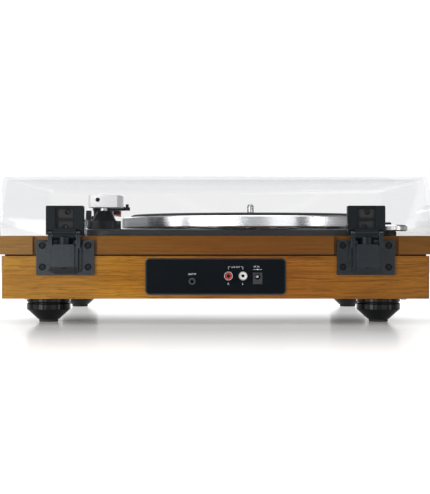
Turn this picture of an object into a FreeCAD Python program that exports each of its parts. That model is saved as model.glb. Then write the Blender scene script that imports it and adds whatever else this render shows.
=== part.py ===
import FreeCAD, Part
import math
import os
import Sketcher
from FreeCAD import Rotation, Vector

# Belt-drive record player in a wooden cabinet with a hinged clear dust cover.
# Millimetres. +X is the user's right, +Y is the rear, +Z is up. The floor is at Z = 0
# and the top board is centred on X = 0, Y = 0.

doc = FreeCAD.newDocument("record_player")
sheet = doc.addObject("Spreadsheet::Sheet", "dims")
rows = []


class Size:
    """A number together with the sheet formula that gives it."""

    def __init__(self, value, text):
        self.value = float(value)
        self.text = text

    def __add__(self, other):
        other = as_size(other)
        return Size(self.value + other.value, f"({self.text} + {other.text})")

    def __radd__(self, other):
        return as_size(other) + self

    def __sub__(self, other):
        other = as_size(other)
        return Size(self.value - other.value, f"({self.text} - {other.text})")

    def __rsub__(self, other):
        return as_size(other) - self

    def __mul__(self, other):
        other = as_size(other)
        return Size(self.value * other.value, f"({self.text} * {other.text})")

    def __rmul__(self, other):
        return as_size(other) * self

    def __truediv__(self, other):
        other = as_size(other)
        return Size(self.value / other.value, f"({self.text} / {other.text})")

    def __neg__(self):
        return Size(-self.value, f"(0 - {self.text})")


def as_size(thing):
    return thing if isinstance(thing, Size) else Size(thing, repr(float(thing)))


def cos_of(degrees):
    degrees = as_size(degrees)
    return Size(math.cos(math.radians(degrees.value)), f"cos({degrees.text} * 1deg)")


def sin_of(degrees):
    degrees = as_size(degrees)
    return Size(math.sin(math.radians(degrees.value)), f"sin({degrees.text} * 1deg)")


def root_of(number):
    number = as_size(number)
    return Size(math.sqrt(number.value), f"sqrt({number.text})")


def size(name, value):
    """Put a named dimension in the sheet."""
    rows.append(name)
    cell = f"B{len(rows)}"
    sheet.set(f"A{len(rows)}", name)
    sheet.set(cell, str(value))
    sheet.setAlias(cell, name)
    return Size(value, f"dims.{name}")


def derived(name, result):
    """Put a named formula in the sheet."""
    rows.append(name)
    cell = f"B{len(rows)}"
    sheet.set(f"A{len(rows)}", name)
    sheet.set(cell, "=" + result.text.replace("dims.", ""))
    sheet.setAlias(cell, name)
    return Size(result.value, f"dims.{name}")


def bind(thing, prop, amount):
    thing.setExpression(prop, as_size(amount).text)


def place(thing, x=0, y=0, z=0, turn=None):
    """Move a document object to a bound position, with an optional fixed turn."""
    if turn is not None:
        thing.Placement = FreeCAD.Placement(Vector(0, 0, 0), turn)
    bind(thing, "Placement.Base.x", x)
    bind(thing, "Placement.Base.y", y)
    bind(thing, "Placement.Base.z", z)
    return thing


UPRIGHT = Rotation(Vector(0, 0, 1), 0)
TO_REAR = Rotation(Vector(1, 0, 0), -90)
TO_FRONT = Rotation(Vector(1, 0, 0), 90)
TO_RIGHT = Rotation(Vector(0, 1, 0), 90)
DOWNWARD = Rotation(Vector(1, 0, 0), 180)


def box(name, x, y, z):
    """A block between pairs of limits."""
    block = doc.addObject("Part::Box", name)
    bind(block, "Length", x[1] - as_size(x[0]))
    bind(block, "Width", y[1] - as_size(y[0]))
    bind(block, "Height", z[1] - as_size(z[0]))
    return place(block, x[0], y[0], z[0])


def rod(name, x, y, z, radius, length, turn=UPRIGHT):
    """A cylinder from a point, running the way the turn sends +Z."""
    bar = doc.addObject("Part::Cylinder", name)
    bind(bar, "Radius", radius)
    bind(bar, "Height", length)
    return place(bar, x, y, z, turn)


def cut(name, base, *tools):
    for number, tool in enumerate(tools):
        step = doc.addObject("Part::Cut", f"{name}_cut{number}")
        step.Base = base
        step.Tool = tool
        base = step
    return base


def join(name, *pieces):
    whole = doc.addObject("Part::MultiFuse", name)
    whole.Shapes = list(pieces)
    whole.Refine = True
    return whole


def common(name, *pieces):
    whole = doc.addObject("Part::MultiCommon", name)
    whole.Shapes = list(pieces)
    return whole


def group(name, *pieces):
    """Several identical solids under one name."""
    whole = doc.addObject("Part::Compound", name)
    whole.Links = list(pieces)
    return whole


def tube(name, x, y, z, outer, inner, length, turn=UPRIGHT):
    skin = rod(f"{name}_skin", x, y, z, outer, length, turn)
    core = rod(f"{name}_core", x, y, z, inner, length, turn)
    return cut(name, skin, core)


def plane_of(body, role):
    for feature in body.Origin.OriginFeatures:
        if feature.Role == role:
            return feature
    raise ValueError(role)


def sketch_polygon(body, name, role, corners):
    """A closed outline whose every corner is bound to the sheet."""
    drawing = body.newObject("Sketcher::SketchObject", name)
    drawing.AttachmentSupport = [(plane_of(body, role), "")]
    drawing.MapMode = "FlatFace"
    count = len(corners)
    spots = [Vector(as_size(u).value, as_size(v).value, 0) for u, v in corners]
    lines = [Part.LineSegment(spots[i], spots[(i + 1) % count]) for i in range(count)]
    drawing.addGeometry(lines, False)
    for i in range(count):
        drawing.addConstraint(Sketcher.Constraint("Coincident", i, 2, (i + 1) % count, 1))
    for i, corner in enumerate(corners):
        for kind, amount in zip(("DistanceX", "DistanceY"), corner):
            amount = as_size(amount)
            rule = Sketcher.Constraint(kind, -1, 1, i, 1, amount.value)
            index = drawing.addConstraint(rule)
            drawing.setExpression(f"Constraints[{index}]", amount.text)
    return drawing


def prism(name, role, corners, low, high):
    """An outline on one of the main planes, padded between two limits."""
    body = doc.addObject("PartDesign::Body", name)
    drawing = sketch_polygon(body, f"{name}_outline", role, corners)
    pad = body.newObject("PartDesign::Pad", f"{name}_pad")
    pad.Profile = drawing
    bind(pad, "Length", high - as_size(low))
    body.Tip = pad
    if role == "XY_Plane":
        place(body, 0, 0, low)
    elif role == "XZ_Plane":
        place(body, 0, high, 0)
    else:
        place(body, low, 0, 0)
    return body


def spin(name, x, y, z, profile, turn=None):
    """A profile of radius and height, revolved about the +Z axis of its own body."""
    body = doc.addObject("PartDesign::Body", name)
    drawing = sketch_polygon(body, f"{name}_profile", "XZ_Plane", profile)
    solid = body.newObject("PartDesign::Revolution", f"{name}_turned")
    solid.Profile = drawing
    solid.ReferenceAxis = (drawing, ["V_Axis"])
    solid.Angle = 360
    body.Tip = solid
    return place(body, x, y, z, turn)


def round_edges(body, radius, wanted, name="rounding"):
    """Fillet the edges of a body that a test picks out."""
    doc.recompute()
    tip = body.Tip
    names = [f"Edge{i + 1}" for i, edge in enumerate(tip.Shape.Edges) if wanted(edge)]
    fillet = body.newObject("PartDesign::Fillet", f"{body.Name}_{name}")
    fillet.Base = (tip, names)
    bind(fillet, "Radius", radius)
    body.Tip = fillet
    return body


def is_upright(edge):
    box_of = edge.BoundBox
    return box_of.ZLength > 0.5 and box_of.XLength < 0.01 and box_of.YLength < 0.01


def is_level_at(height):
    def test(edge):
        heights = [corner.Point.z for corner in edge.Vertexes]
        return max(abs(level - height) for level in heights) < 0.01
    return test


nodes = []


def node(name, thing):
    """Name a finished piece of the record player."""
    thing.Label = name
    nodes.append(thing)
    return thing


# ---------------------------------------------------------------- cabinet sizes
deck_wide = size("deck_wide", 424)
deck_deep = size("deck_deep", 356)
deck_thick = size("deck_thick", 17.8)
deck_corner = size("deck_corner", 7)
groove_tall = size("groove_tall", 1.6)
groove_inset = size("groove_inset", 3)
foot_tall = size("foot_tall", 24.4)
plinth_tall = size("plinth_tall", 41.1)
overhang_side = size("overhang_side", 6)
overhang_end = size("overhang_end", 5)
wall_thick = size("wall_thick", 12)
plinth_corner = size("plinth_corner", 4.5)
board_thick = size("board_thick", 6)
fit_gap = size("fit_gap", 0.05)

plinth_wide = derived("plinth_wide", deck_wide - overhang_side * 2)
plinth_deep = derived("plinth_deep", deck_deep - overhang_end * 2)
side = derived("side_face", plinth_wide / 2)
rear = derived("rear_face", plinth_deep / 2)
front = derived("front_face", -rear)
plinth_top = derived("plinth_top", foot_tall + plinth_tall)
deck_base = derived("deck_base", plinth_top + groove_tall)
deck_top = derived("deck_top", deck_base + deck_thick)
inner_side = derived("inner_side", side - wall_thick)
inner_rear = derived("inner_rear", rear - wall_thick)

# ---------------------------------------------------------------- hinge sizes
hinge_x = size("hinge_x", 144)
notch_wide = size("notch_wide", 62)
plate_wide = size("plate_wide", 55.6)
plate_tall = size("plate_tall", 33.5)
plate_rise = size("plate_rise", 23)
plate_thick = size("plate_thick", 3)
axle_back = size("axle_back", 8)
axle_rise = size("axle_rise", 0.4)
hinge_reach = size("hinge_reach", 15.5)
axle_radius = size("axle_radius", 1.5)
hub_radius = size("hub_radius", 4.2)
ear_radius = size("ear_radius", 4.5)
ear_inside = size("ear_inside", 11.4)
ear_thick = size("ear_thick", 4)
pocket_wide = size("pocket_wide", 36)
pocket_tall = size("pocket_tall", 28)
shoe_radius = size("shoe_radius", 6)
screw_span_x = size("screw_span_x", 21.9)
screw_inset_z = size("screw_inset_z", 5.2)

axle_y = derived("axle_y", rear + axle_back)
axle_z = derived("axle_z", deck_top + axle_rise)
plate_low = derived("plate_low", foot_tall + plate_rise)
plate_high = derived("plate_high", plate_low + plate_tall)
plate_skin = derived("plate_skin", rear + plate_thick)
hinge_back = derived("hinge_back", rear + hinge_reach)
screw_low = derived("screw_low", plate_low + screw_inset_z + 2.4)
screw_high = derived("screw_high", plate_high - screw_inset_z)

# ---------------------------------------------------------------- jack panel sizes
jack_wide = size("jack_wide", 135)
jack_tall = size("jack_tall", 34.9)
jack_mid = size("jack_mid", 21.4)
jack_thick = size("jack_thick", 2)
jack_corner = size("jack_corner", 4.5)
jack_lip = size("jack_lip", 4)
phono_radius = size("phono_radius", 4.15)
phono_reach = size("phono_reach", 8.5)
phono_right_x = size("phono_right_x", -12.2)
phono_left_x = size("phono_left_x", -26.1)
phono_rise = size("phono_rise", 22.3)
aux_x = size("aux_x", 22.5)
aux_rise = size("aux_rise", 16.9)
aux_bore = size("aux_bore", 1.8)
aux_depth = size("aux_depth", 14)
power_x = size("power_x", -40.2)
power_rise = size("power_rise", 21.3)
power_bore = size("power_bore", 2.75)
power_pin = size("power_pin", 1.05)

jack_z = derived("jack_z", foot_tall + jack_mid)
jack_skin = derived("jack_skin", rear + jack_thick)
phono_z = derived("phono_z", foot_tall + phono_rise)
aux_z = derived("aux_z", foot_tall + aux_rise)
power_z = derived("power_z", foot_tall + power_rise)
board_face = derived("board_face", inner_rear - 1)

# ---------------------------------------------------------------- deck sizes
panel_wide = size("panel_wide", 332)
panel_front_gap = size("panel_front_gap", 6)
panel_rear_gap = size("panel_rear_gap", 51)
panel_tall = size("panel_tall", 7.2)
panel_skin = size("panel_skin", 3)
panel_corner = size("panel_corner", 8)
panel_rim = size("panel_rim", 12)
platter_x = size("platter_x", -39.2)
platter_back = size("platter_back", 190)
platter_radius = size("platter_radius", 144)
platter_rim = size("platter_rim", 6)
platter_gap = size("platter_gap", 2)
platter_tall = size("platter_tall", 11.7)
platter_web = size("platter_web", 3.5)
mat_inset = size("mat_inset", 10)
mat_thick = size("mat_thick", 3)
spindle_radius = size("spindle_radius", 3.6)
spindle_tall = size("spindle_tall", 13)
bearing_radius = size("bearing_radius", 4)
drive_inset = size("drive_inset", 49)
pulley_radius = size("pulley_radius", 6)
pulley_inset = size("pulley_inset", 24)
motor_angle = size("motor_angle", 135)
motor_radius = size("motor_radius", 17.5)
belt_thick = size("belt_thick", 0.8)
belt_tall = size("belt_tall", 5)

panel_top = derived("panel_top", deck_top + panel_tall)
panel_under = derived("panel_under", panel_top - panel_skin)
platter_y = derived("platter_y", rear - platter_back)
platter_low = derived("platter_low", panel_top + platter_gap)
platter_top = derived("platter_top", platter_low + platter_tall)
platter_under = derived("platter_under", platter_top - platter_web)
mat_top = derived("mat_top", platter_top + mat_thick)
panel_front = derived("panel_front", rear - panel_front_gap)
panel_rear = derived("panel_rear", rear - panel_rear_gap)
mat_radius = derived("mat_radius", platter_radius - mat_inset)
drive_radius = derived("drive_radius", platter_radius - drive_inset)
motor_span = derived("motor_span", platter_radius - pulley_inset)
motor_x = derived("motor_x", platter_x + motor_span * cos_of(motor_angle))
motor_y = derived("motor_y", platter_y + motor_span * sin_of(motor_angle))

# ---------------------------------------------------------------- tonearm sizes
pivot_x = size("pivot_x", 114.3)
pivot_back = size("pivot_back", 75)
arm_length = size("arm_length", 210)
arm_rise = size("arm_rise", 27.7)
arm_angle = size("arm_angle", 3.4)
tube_radius = size("tube_radius", 4.5)
tube_bore = size("tube_bore", 3.6)
housing_wide = size("housing_wide", 32.3)
housing_tall = size("housing_tall", 12)
channel_half = size("channel_half", 8.5)
channel_tall = size("channel_tall", 8)
pivot_pin = size("pivot_pin", 1.5)
yaw_radius = size("yaw_radius", 4)
lift_ring = size("lift_ring", 28)
lift_angle = size("lift_angle", -67)
offset_angle = size("offset_angle", 22)

pivot_y = derived("pivot_y", rear - pivot_back)
arm_z = derived("arm_z", panel_top + arm_rise)
housing_low = derived("housing_low", arm_z - 6)
tube_low = derived("tube_low", arm_z - tube_radius)
lift_x = derived("lift_x", pivot_x + lift_ring * cos_of(lift_angle))
lift_y = derived("lift_y", pivot_y + lift_ring * sin_of(lift_angle))

# ---------------------------------------------------------------- plinth walls
ring_corners = [(-side, front), (side, front), (side, rear), (-side, rear)]
plinth_block = prism("plinth_block", "XY_Plane", ring_corners, foot_tall, plinth_top)
round_edges(plinth_block, plinth_corner, is_upright)
plinth_inside = box("plinth_inside", (-inner_side, inner_side), (-inner_rear, inner_rear),
                    (foot_tall - 1, plinth_top + 1))
plinth_ring = cut("plinth_ring", plinth_block, plinth_inside)
mitre = wall_thick * 2


def wall(name, corners, *openings):
    wedge = prism(f"{name}_wedge", "XY_Plane", corners, foot_tall - 1, plinth_top + 1)
    piece = common(f"{name}_piece", plinth_ring, wedge)
    return cut(name, piece, *openings)


left_wall = wall("plinth_left", [(-side, front), (mitre - side, front + mitre),
                     (mitre - side, rear - mitre), (-side, rear)])
right_wall = wall("plinth_right", [(side, front), (side, rear), (side - mitre, rear - mitre),
                                   (side - mitre, front + mitre)])
node("plinth_sides", group("plinth_sides", left_wall, right_wall))

jack_opening = box("jack_opening", (10 - jack_wide / 2, jack_wide / 2 - 10),
                   (inner_rear - 5, rear + 5),
                   (jack_z - jack_tall / 2 + jack_lip, jack_z + jack_tall / 2 - jack_lip))
hinge_holes = []
for hand in (-1, 1):
    for step in (-1, 1):
        hinge_holes.append(rod("hinge_hole", hinge_x * hand + screw_span_x * step,
                               rear - 14, screw_low, 1.5, 20, TO_REAR))
node("plinth_back", wall("back_wall", [(-side, rear), (mitre - side, rear - mitre),
                                       (side - mitre, rear - mitre), (side, rear)],
                         jack_opening, *hinge_holes))

# ---------------------------------------------------------------- front face
grille_x = size("grille_x", 118)
grille_wide = size("grille_wide", 104)
grille_tall = size("grille_tall", 23)
grille_thick = size("grille_thick", 2)
knob_x = size("knob_x", 24)
knob_radius = size("knob_radius", 11)
knob_shaft = size("knob_shaft", 3)
front_mid = derived("front_mid", foot_tall + plinth_tall / 2)

front_openings = []
for hand in (-1, 1):
    front_openings.append(box("speaker_opening",
                              (grille_x * hand - grille_wide / 2, grille_x * hand + grille_wide / 2),
                              (front - 5, front + wall_thick + 5),
                              (front_mid - grille_tall / 2, front_mid + grille_tall / 2)))
    front_openings.append(rod("knob_hole", knob_x * hand, front - 5, front_mid,
                              knob_shaft + 1, 30, TO_REAR))
node("plinth_front", wall("front_wall", [(-side, front), (side, front),
                                         (side - mitre, front + mitre),
                                         (mitre - side, front + mitre)], *front_openings))

grilles = []
cloths = []
for hand in (-1, 1):
    plate = box("grille_plate", (grille_x * hand - grille_wide / 2 + 0.2,
                                 grille_x * hand + grille_wide / 2 - 0.2),
                (front + 0.6, front + 0.6 + grille_thick),
                (front_mid - grille_tall / 2 + 0.2, front_mid + grille_tall / 2 - 0.2))
    slots = []
    for count in range(16):
        middle = grille_x * hand + (grille_wide / 17) * (count - 7.5)
        slots.append(box("grille_slot", (middle - 1.6, middle + 1.6), (front - 5, front + 9),
                         (front_mid - grille_tall / 2 + 3, front_mid + grille_tall / 2 - 3)))
    slot_row = group("grille_slots", *slots)
    grilles.append(cut("grille", plate, slot_row))
    cloths.append(box("grille_cloth", (grille_x * hand - grille_wide / 2 + 0.2,
                                       grille_x * hand + grille_wide / 2 - 0.2),
                      (front + 0.8 + grille_thick, front + 1.6 + grille_thick),
                      (front_mid - grille_tall / 2 + 0.2, front_mid + grille_tall / 2 - 0.2)))
node("speaker_grilles", group("speaker_grilles", *grilles))

speakers = []
for hand, label in ((-1, "left"), (1, "right")):
    middle = grille_x * hand
    inside = front + wall_thick
    frame = box("speaker_frame", (middle - 56, middle + 56), (inside, inside + 3),
                (front_mid - 14.3, front_mid + 14.3))
    basket = box("speaker_basket", (middle - 44, middle + 44), (inside, inside + 14),
                 (front_mid - 13.2, front_mid + 13.2))
    mouth = box("speaker_mouth", (middle - 41, middle + 41), (inside - 1, inside + 11),
                (front_mid - 11, front_mid + 11))
    magnet = rod("speaker_magnet", middle, inside + 14, front_mid, 13, 10, TO_REAR)
    shell = cut(f"speaker_shell_{label}", join(f"speaker_solid_{label}", frame, basket, magnet),
                mouth)
    speakers.append(shell)
    rim = prism(f"speaker_cone_{label}", "XZ_Plane",
                [(middle - 40, front_mid - 10), (middle + 40, front_mid - 10),
                 (middle + 40, front_mid + 10), (middle - 40, front_mid + 10)],
                inside + 2, inside + 3.5)
    cloths.append(rim)
node("speakers", group("speakers", *speakers))
node("speaker_cloths", group("speaker_cloths", *cloths))

# ---------------------------------------------------------------- spacer and boards
spacer_block = prism("spacer_block", "XY_Plane",
                     [(groove_inset - side, front + groove_inset),
                      (side - groove_inset, front + groove_inset),
                      (side - groove_inset, rear - groove_inset),
                      (groove_inset - side, rear - groove_inset)], plinth_top, deck_base)
round_edges(spacer_block, plinth_corner - groove_inset, is_upright)
spacer_inside = box("spacer_inside", (-inner_side, inner_side), (-inner_rear, inner_rear),
                    (plinth_top - 1, deck_base + 1))
spacer_ring = cut("spacer_ring", spacer_block, spacer_inside)

half_deck = deck_wide / 2
back_edge = deck_deep / 2
notch_half = notch_wide / 2
deck_corners = [(-half_deck, -back_edge), (half_deck, -back_edge), (half_deck, back_edge)]
for hand in (1, -1):
    deck_corners.append((hinge_x * hand + notch_half, back_edge))
    deck_corners.append((hinge_x * hand + notch_half, rear))
    deck_corners.append((hinge_x * hand - notch_half, rear))
    deck_corners.append((hinge_x * hand - notch_half, back_edge))
deck_corners.append((-half_deck, back_edge))
deck_block = prism("deck_block", "XY_Plane", deck_corners, deck_base, deck_top)


def is_outer_corner(edge):
    middle = edge.BoundBox.Center
    return is_upright(edge) and abs(middle.x) > half_deck.value - 0.01


round_edges(deck_block, deck_corner, is_outer_corner)

post_x = size("post_x", -169.6)
post_back = size("post_back", 28)
post_y = derived("post_y", rear - post_back)
deck_tools = [box("deck_opening", (panel_rim - panel_wide / 2, panel_wide / 2 - panel_rim),
                  (panel_rim - panel_front, panel_rear - panel_rim),
                  (deck_base - 1, deck_top + 1)),
              rod("post_hole", post_x, post_y, deck_top - 9, 3 + fit_gap, 10)]
for hand in (-1, 1):
    for step in (-1, 1):
        deck_tools.append(rod("hinge_hole_high", hinge_x * hand + screw_span_x * step,
                              rear - 14, screw_high, 1.5, 30, TO_REAR))
panel_screw_spots = []
for across in (-1, 1):
    for along in (panel_rear - 6, as_size(0), 6 - panel_front):
        panel_screw_spots.append(((panel_wide / 2 - 6) * across, along))
for x, y in panel_screw_spots:
    deck_tools.append(rod("panel_screw_hole", x, y, deck_top - 12, 1.5, 14))
node("top_board", cut("top_board", deck_block, *deck_tools))

foot_x = size("foot_x", 164)
foot_inset = size("foot_inset", 41)
foot_radius = size("foot_radius", 21.7)
foot_shift = size("foot_shift", 2.1)
pad_radius = size("pad_radius", 9.5)
pad_show = size("pad_show", 2.6)
foot_y = derived("foot_y", rear - foot_inset)
foot_left = derived("foot_left", foot_shift - foot_x)
foot_right = derived("foot_right", foot_shift + foot_x)
foot_spots = [("rear_left", foot_left, foot_y), ("rear_right", foot_right, foot_y),
              ("front_left", foot_left, -foot_y), ("front_right", foot_right, -foot_y)]
block_x = derived("block_x", inner_side - 10)
block_y = derived("block_y", inner_rear - 9)

floor_board = box("floor_board", (fit_gap * 2 - inner_side, inner_side - fit_gap * 2),
                  (fit_gap * 2 - inner_rear, inner_rear - fit_gap * 2),
                  (foot_tall, foot_tall + board_thick))
floor_tools = []
for label, x, y in foot_spots:
    floor_tools.append(rod("foot_screw_hole", x, y, foot_tall - 1, 2.1, 20))
for x in (-block_x, block_x):
    for y in (-block_y, block_y):
        floor_tools.append(rod("case_screw_hole", x, y, foot_tall - 1, 1.6, 20))
board_spots = [(x, y) for x in (-78, -2) for y in (92, 148)]
for x, y in board_spots:
    floor_tools.append(rod("standoff_hole", x, y, foot_tall - 1, 1.25, 20))
node("bottom_board", cut("bottom_board", floor_board, *floor_tools))

blocks = []
case_screws = []
for x in (-1, 1):
    for y in (-1, 1):
        piece = box("corner_block", (block_x * x - 9.8, block_x * x + 9.8),
                    (block_y * y - 8.8, block_y * y + 8.8),
                    (foot_tall + board_thick, plinth_top))
        blocks.append(cut("corner_block_bored", piece,
                          rod("block_hole", block_x * x, block_y * y, foot_tall, 1.6, 24)))
node("inner_frame", group("inner_frame", spacer_ring, *blocks))


def screw(name, x, y, z, head, thick, shank, length, turn, recess=True):
    """A cross-head screw: the head rises from the seat point, the shank runs back."""
    top = spin(f"{name}_shape", 0, 0, 0,
               [(0, -length), (shank * 0.5, -length), (shank, shank * 1.2 - length), (shank, 0),
                (head, 0), (head, thick * 0.55), (head * 0.72, thick), (0, thick)])
    tools = []
    if recess:
        long = head * 0.5
        narrow = head * 0.11
        deep = (thick * 0.35, thick + 1)
        tools = [box(f"{name}_slot", (-long, long), (-narrow, narrow), deep),
                 box(f"{name}_cross", (-narrow, narrow), (-long, long), deep)]
    piece = cut(name, top, *tools)
    return place(piece, x, y, z, turn)


for x in (-1, 1):
    for y in (-1, 1):
        case_screws.append(screw("case_screw", block_x * x, block_y * y, foot_tall,
                                 as_size(3.4), as_size(1.8), as_size(1.55), as_size(20), DOWNWARD))

# ---------------------------------------------------------------- feet
feet = []
pads = []
foot_screws = []
pad_seat = derived("pad_seat", pad_show + 1.6)
foot_belt = derived("foot_belt", foot_tall - 6.4)
for label, x, y in foot_spots:
    profile = [(pad_radius + 0.1, pad_show), (pad_radius + 1.2, pad_show),
               (foot_radius, pad_show + 9.9), (foot_radius, foot_belt),
               (foot_radius - 1.1, foot_belt + 0.5), (foot_radius - 1.1, foot_belt + 1.6),
               (foot_radius, foot_belt + 2.1), (foot_radius, foot_tall - 1),
               (foot_radius - 1, foot_tall), (2.1, foot_tall), (2.1, 10), (4.6, 10),
               (4.6, pad_seat), (pad_radius + 0.1, pad_seat)]
    feet.append(spin(f"foot_{label}", x, y, 0, profile))
    pads.append(spin("foot_pad", x, y, 0,
                     [(0, 0), (pad_radius - 0.6, 0), (pad_radius, 0.6),
                      (pad_radius, pad_seat - 0.1), (0, pad_seat - 0.1)]))
    foot_screws.append(screw("foot_screw", x, y, 10, as_size(4), as_size(2.4), as_size(2.05),
                             foot_tall + board_thick - 9, DOWNWARD))
node("feet", group("feet", *feet))

# ---------------------------------------------------------------- hinge brackets
cover_low = derived("cover_low", deck_top + 0.4)
cover_wall = size("cover_wall", 3)
cover_rear_gap = size("cover_rear_gap", 1.5)
cover_back = derived("cover_back", deck_deep / 2 - cover_rear_gap)
shoe_bore = derived("shoe_bore", shoe_radius + 0.3)
hinge_top = derived("hinge_top", axle_z - 8.6)

brackets = []
black_screws = []
axles = []
springs = []
shoes = []
for hand, label in ((-1, "left"), (1, "right")):
    middle = hinge_x * hand
    base = box("hinge_plate", (middle - plate_wide / 2, middle + plate_wide / 2),
               (rear, plate_skin), (plate_low, plate_high))
    hump = prism("hinge_hump", "YZ_Plane",
                 [(rear, plate_low + 1), (rear + 7, plate_low + 1), (hinge_back, plate_low + 8),
                  (hinge_back, hinge_top), (rear, hinge_top)], middle - 10, middle + 10)
    rib = prism("hinge_rib", "YZ_Plane",
                [(rear, plate_low + 2.2), (rear + 6, plate_low + 2.2),
                 (hinge_back - 3.5, plate_low + 8), (hinge_back - 3.5, hinge_top - 1.2),
                 (rear, hinge_top - 1.2)], middle - 13.2, middle + 13.2)
    wing = prism("hinge_wing", "YZ_Plane",
                 [(rear, plate_low + 3.4), (rear + 4.6, plate_low + 3.4),
                  (rear + 6.5, plate_low + 6), (rear + 6.5, hinge_top - 2.6),
                  (rear, hinge_top - 2.6)], middle - 16, middle + 16)
    solids = [base, hump, rib, wing]
    ears_cut = []
    for step in (-1, 1):
        low = middle + (ear_inside + ear_thick / 2) * step - ear_thick / 2
        solids.append(prism("hinge_ear", "YZ_Plane",
                            [(axle_y - ear_radius, hinge_top - 3.4),
                             (axle_y + ear_radius, hinge_top - 3.4),
                             (axle_y + ear_radius, axle_z), (axle_y - ear_radius, axle_z)],
                            low, low + ear_thick))
        solids.append(rod("hinge_ear_top", low, axle_y, axle_z, ear_radius, ear_thick, TO_RIGHT))
    whole = join(f"hinge_body_{label}", *solids)
    tools = [rod("shoe_well", middle, axle_y, plate_low + 6.5, shoe_bore, 40),
             rod("axle_hole", middle - 20, axle_y, axle_z, axle_radius + 0.01, 40, TO_RIGHT)]
    for step in (-1, 1):
        for level in (screw_low, screw_high):
            spot = middle + screw_span_x * step
            tools.append(rod("screw_hole", spot, rear - 1, level, 1.6, 10, TO_REAR))
            tools.append(rod("screw_dish", spot, rear + 1.2, level, 3.4, 10, TO_REAR))
            black_screws.append(screw("hinge_screw", spot, rear + 1.2, level, as_size(3),
                                      as_size(1.5), as_size(1.45), as_size(14), TO_REAR))
    brackets.append(cut(f"hinge_bracket_{label}", whole, *tools))
    axles.append(rod("hinge_axle", middle - ear_inside - ear_thick, axle_y, axle_z, axle_radius,
                     (ear_inside + ear_thick) * 2, TO_RIGHT))
    coil = doc.addObject("Part::Helix", "spring_path")
    coil.Pitch = 2.6
    coil.Height = 15.6
    bind(coil, "Radius", shoe_radius - 1.2)
    place(coil, 0, 0, 0)
    wire = doc.addObject("Part::Circle", "spring_wire")
    wire.Radius = 0.6
    wire.Placement = FreeCAD.Placement(Vector(0, 0, 0), Rotation(Vector(1, 0, 0), 90))
    bind(wire, "Placement.Base.x", shoe_radius - 1.2)
    swept = doc.addObject("Part::Sweep", "spring_coil")
    swept.Sections = [wire]
    swept.Spine = (coil, ["Edge1"])
    swept.Solid = True
    swept.Frenet = True
    place(swept, middle, axle_y, plate_low + 7.2)
    springs.append(swept)
    shoe_block = rod("shoe_block", middle, axle_y, plate_low + 23.6, shoe_radius,
                     axle_z - plate_low - 25)
    shoes.append(cut("hinge_shoe", shoe_block,
                     rod("shoe_saddle", middle - 20, axle_y, axle_z, hub_radius + 0.3, 40,
                         TO_RIGHT)))
node("hinge_brackets", group("hinge_brackets", *brackets))
node("hinge_springs", group("hinge_springs", *springs))
node("hinge_shoes", group("hinge_shoes", *shoes))

# ---------------------------------------------------------------- dust cover and its arms
cover_inset = size("cover_inset", 1)
cover_tall = size("cover_tall", 56.7)
cover_side_lean = size("cover_side_lean", 8.4)
cover_front_lean = size("cover_front_lean", 20.6)
cover_corner = size("cover_corner", 8)
cover_edge = size("cover_edge", 4)
cover_top = derived("cover_top", cover_low + cover_tall)
slot_gap = size("slot_gap", 0.15)
seat_rise = size("seat_rise", 3.4)


def runs_along(way, height):
    """Pick the top edges of a prism that run along its padding direction."""
    def test(edge):
        ends = [corner.Point for corner in edge.Vertexes]
        if len(ends) < 2 or min(point.z for point in ends) < height - 0.01:
            return False
        line = ends[1] - ends[0]
        return abs(line.dot(way)) > line.Length * 0.99
    return test


def shell(name, grow, low, high, corner, edge):
    """A tapered box with rounded edges, shrunk all round by a wall thickness."""
    out = deck_wide / 2 - cover_inset - grow
    ahead = deck_deep / 2 - cover_inset - grow
    behind = cover_back - grow
    across = prism(f"{name}_across", "XZ_Plane",
                   [(-out, low), (out, low), (out - cover_side_lean, high),
                    (cover_side_lean - out, high)], -ahead - 5, behind + 5)
    round_edges(across, edge, runs_along(Vector(0, 1, 0), high.value))
    along = prism(f"{name}_along", "YZ_Plane",
                  [(-ahead, low), (behind, low), (behind, high),
                   (cover_front_lean - ahead, high)], -out - 5, out + 5)
    round_edges(along, edge, runs_along(Vector(1, 0, 0), high.value))
    plan = prism(f"{name}_plan", "XY_Plane", [(-out, -ahead), (out, -ahead), (out, behind),
                                              (-out, behind)], low - 1, high + 1)
    round_edges(plan, corner, is_upright)
    return common(name, across, along, plan)


cover_skin = shell("cover_skin", as_size(0), cover_low, cover_top, cover_corner, cover_edge)
cover_void = shell("cover_void", cover_wall, cover_low - 0.01, cover_top - cover_wall,
                   cover_corner - cover_wall, cover_edge - cover_wall)
cover_tools = [cover_void]
for hand in (-1, 1):
    cover_tools.append(box("cover_notch", (hinge_x * hand - pocket_wide / 2 - 0.5,
                                           hinge_x * hand + pocket_wide / 2 + 0.5),
                           (cover_back - cover_wall - 5, cover_back + 5),
                           (cover_low - 2, cover_low + seat_rise)))
node("dust_cover", cut("dust_cover", cover_skin, *cover_tools))

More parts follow.
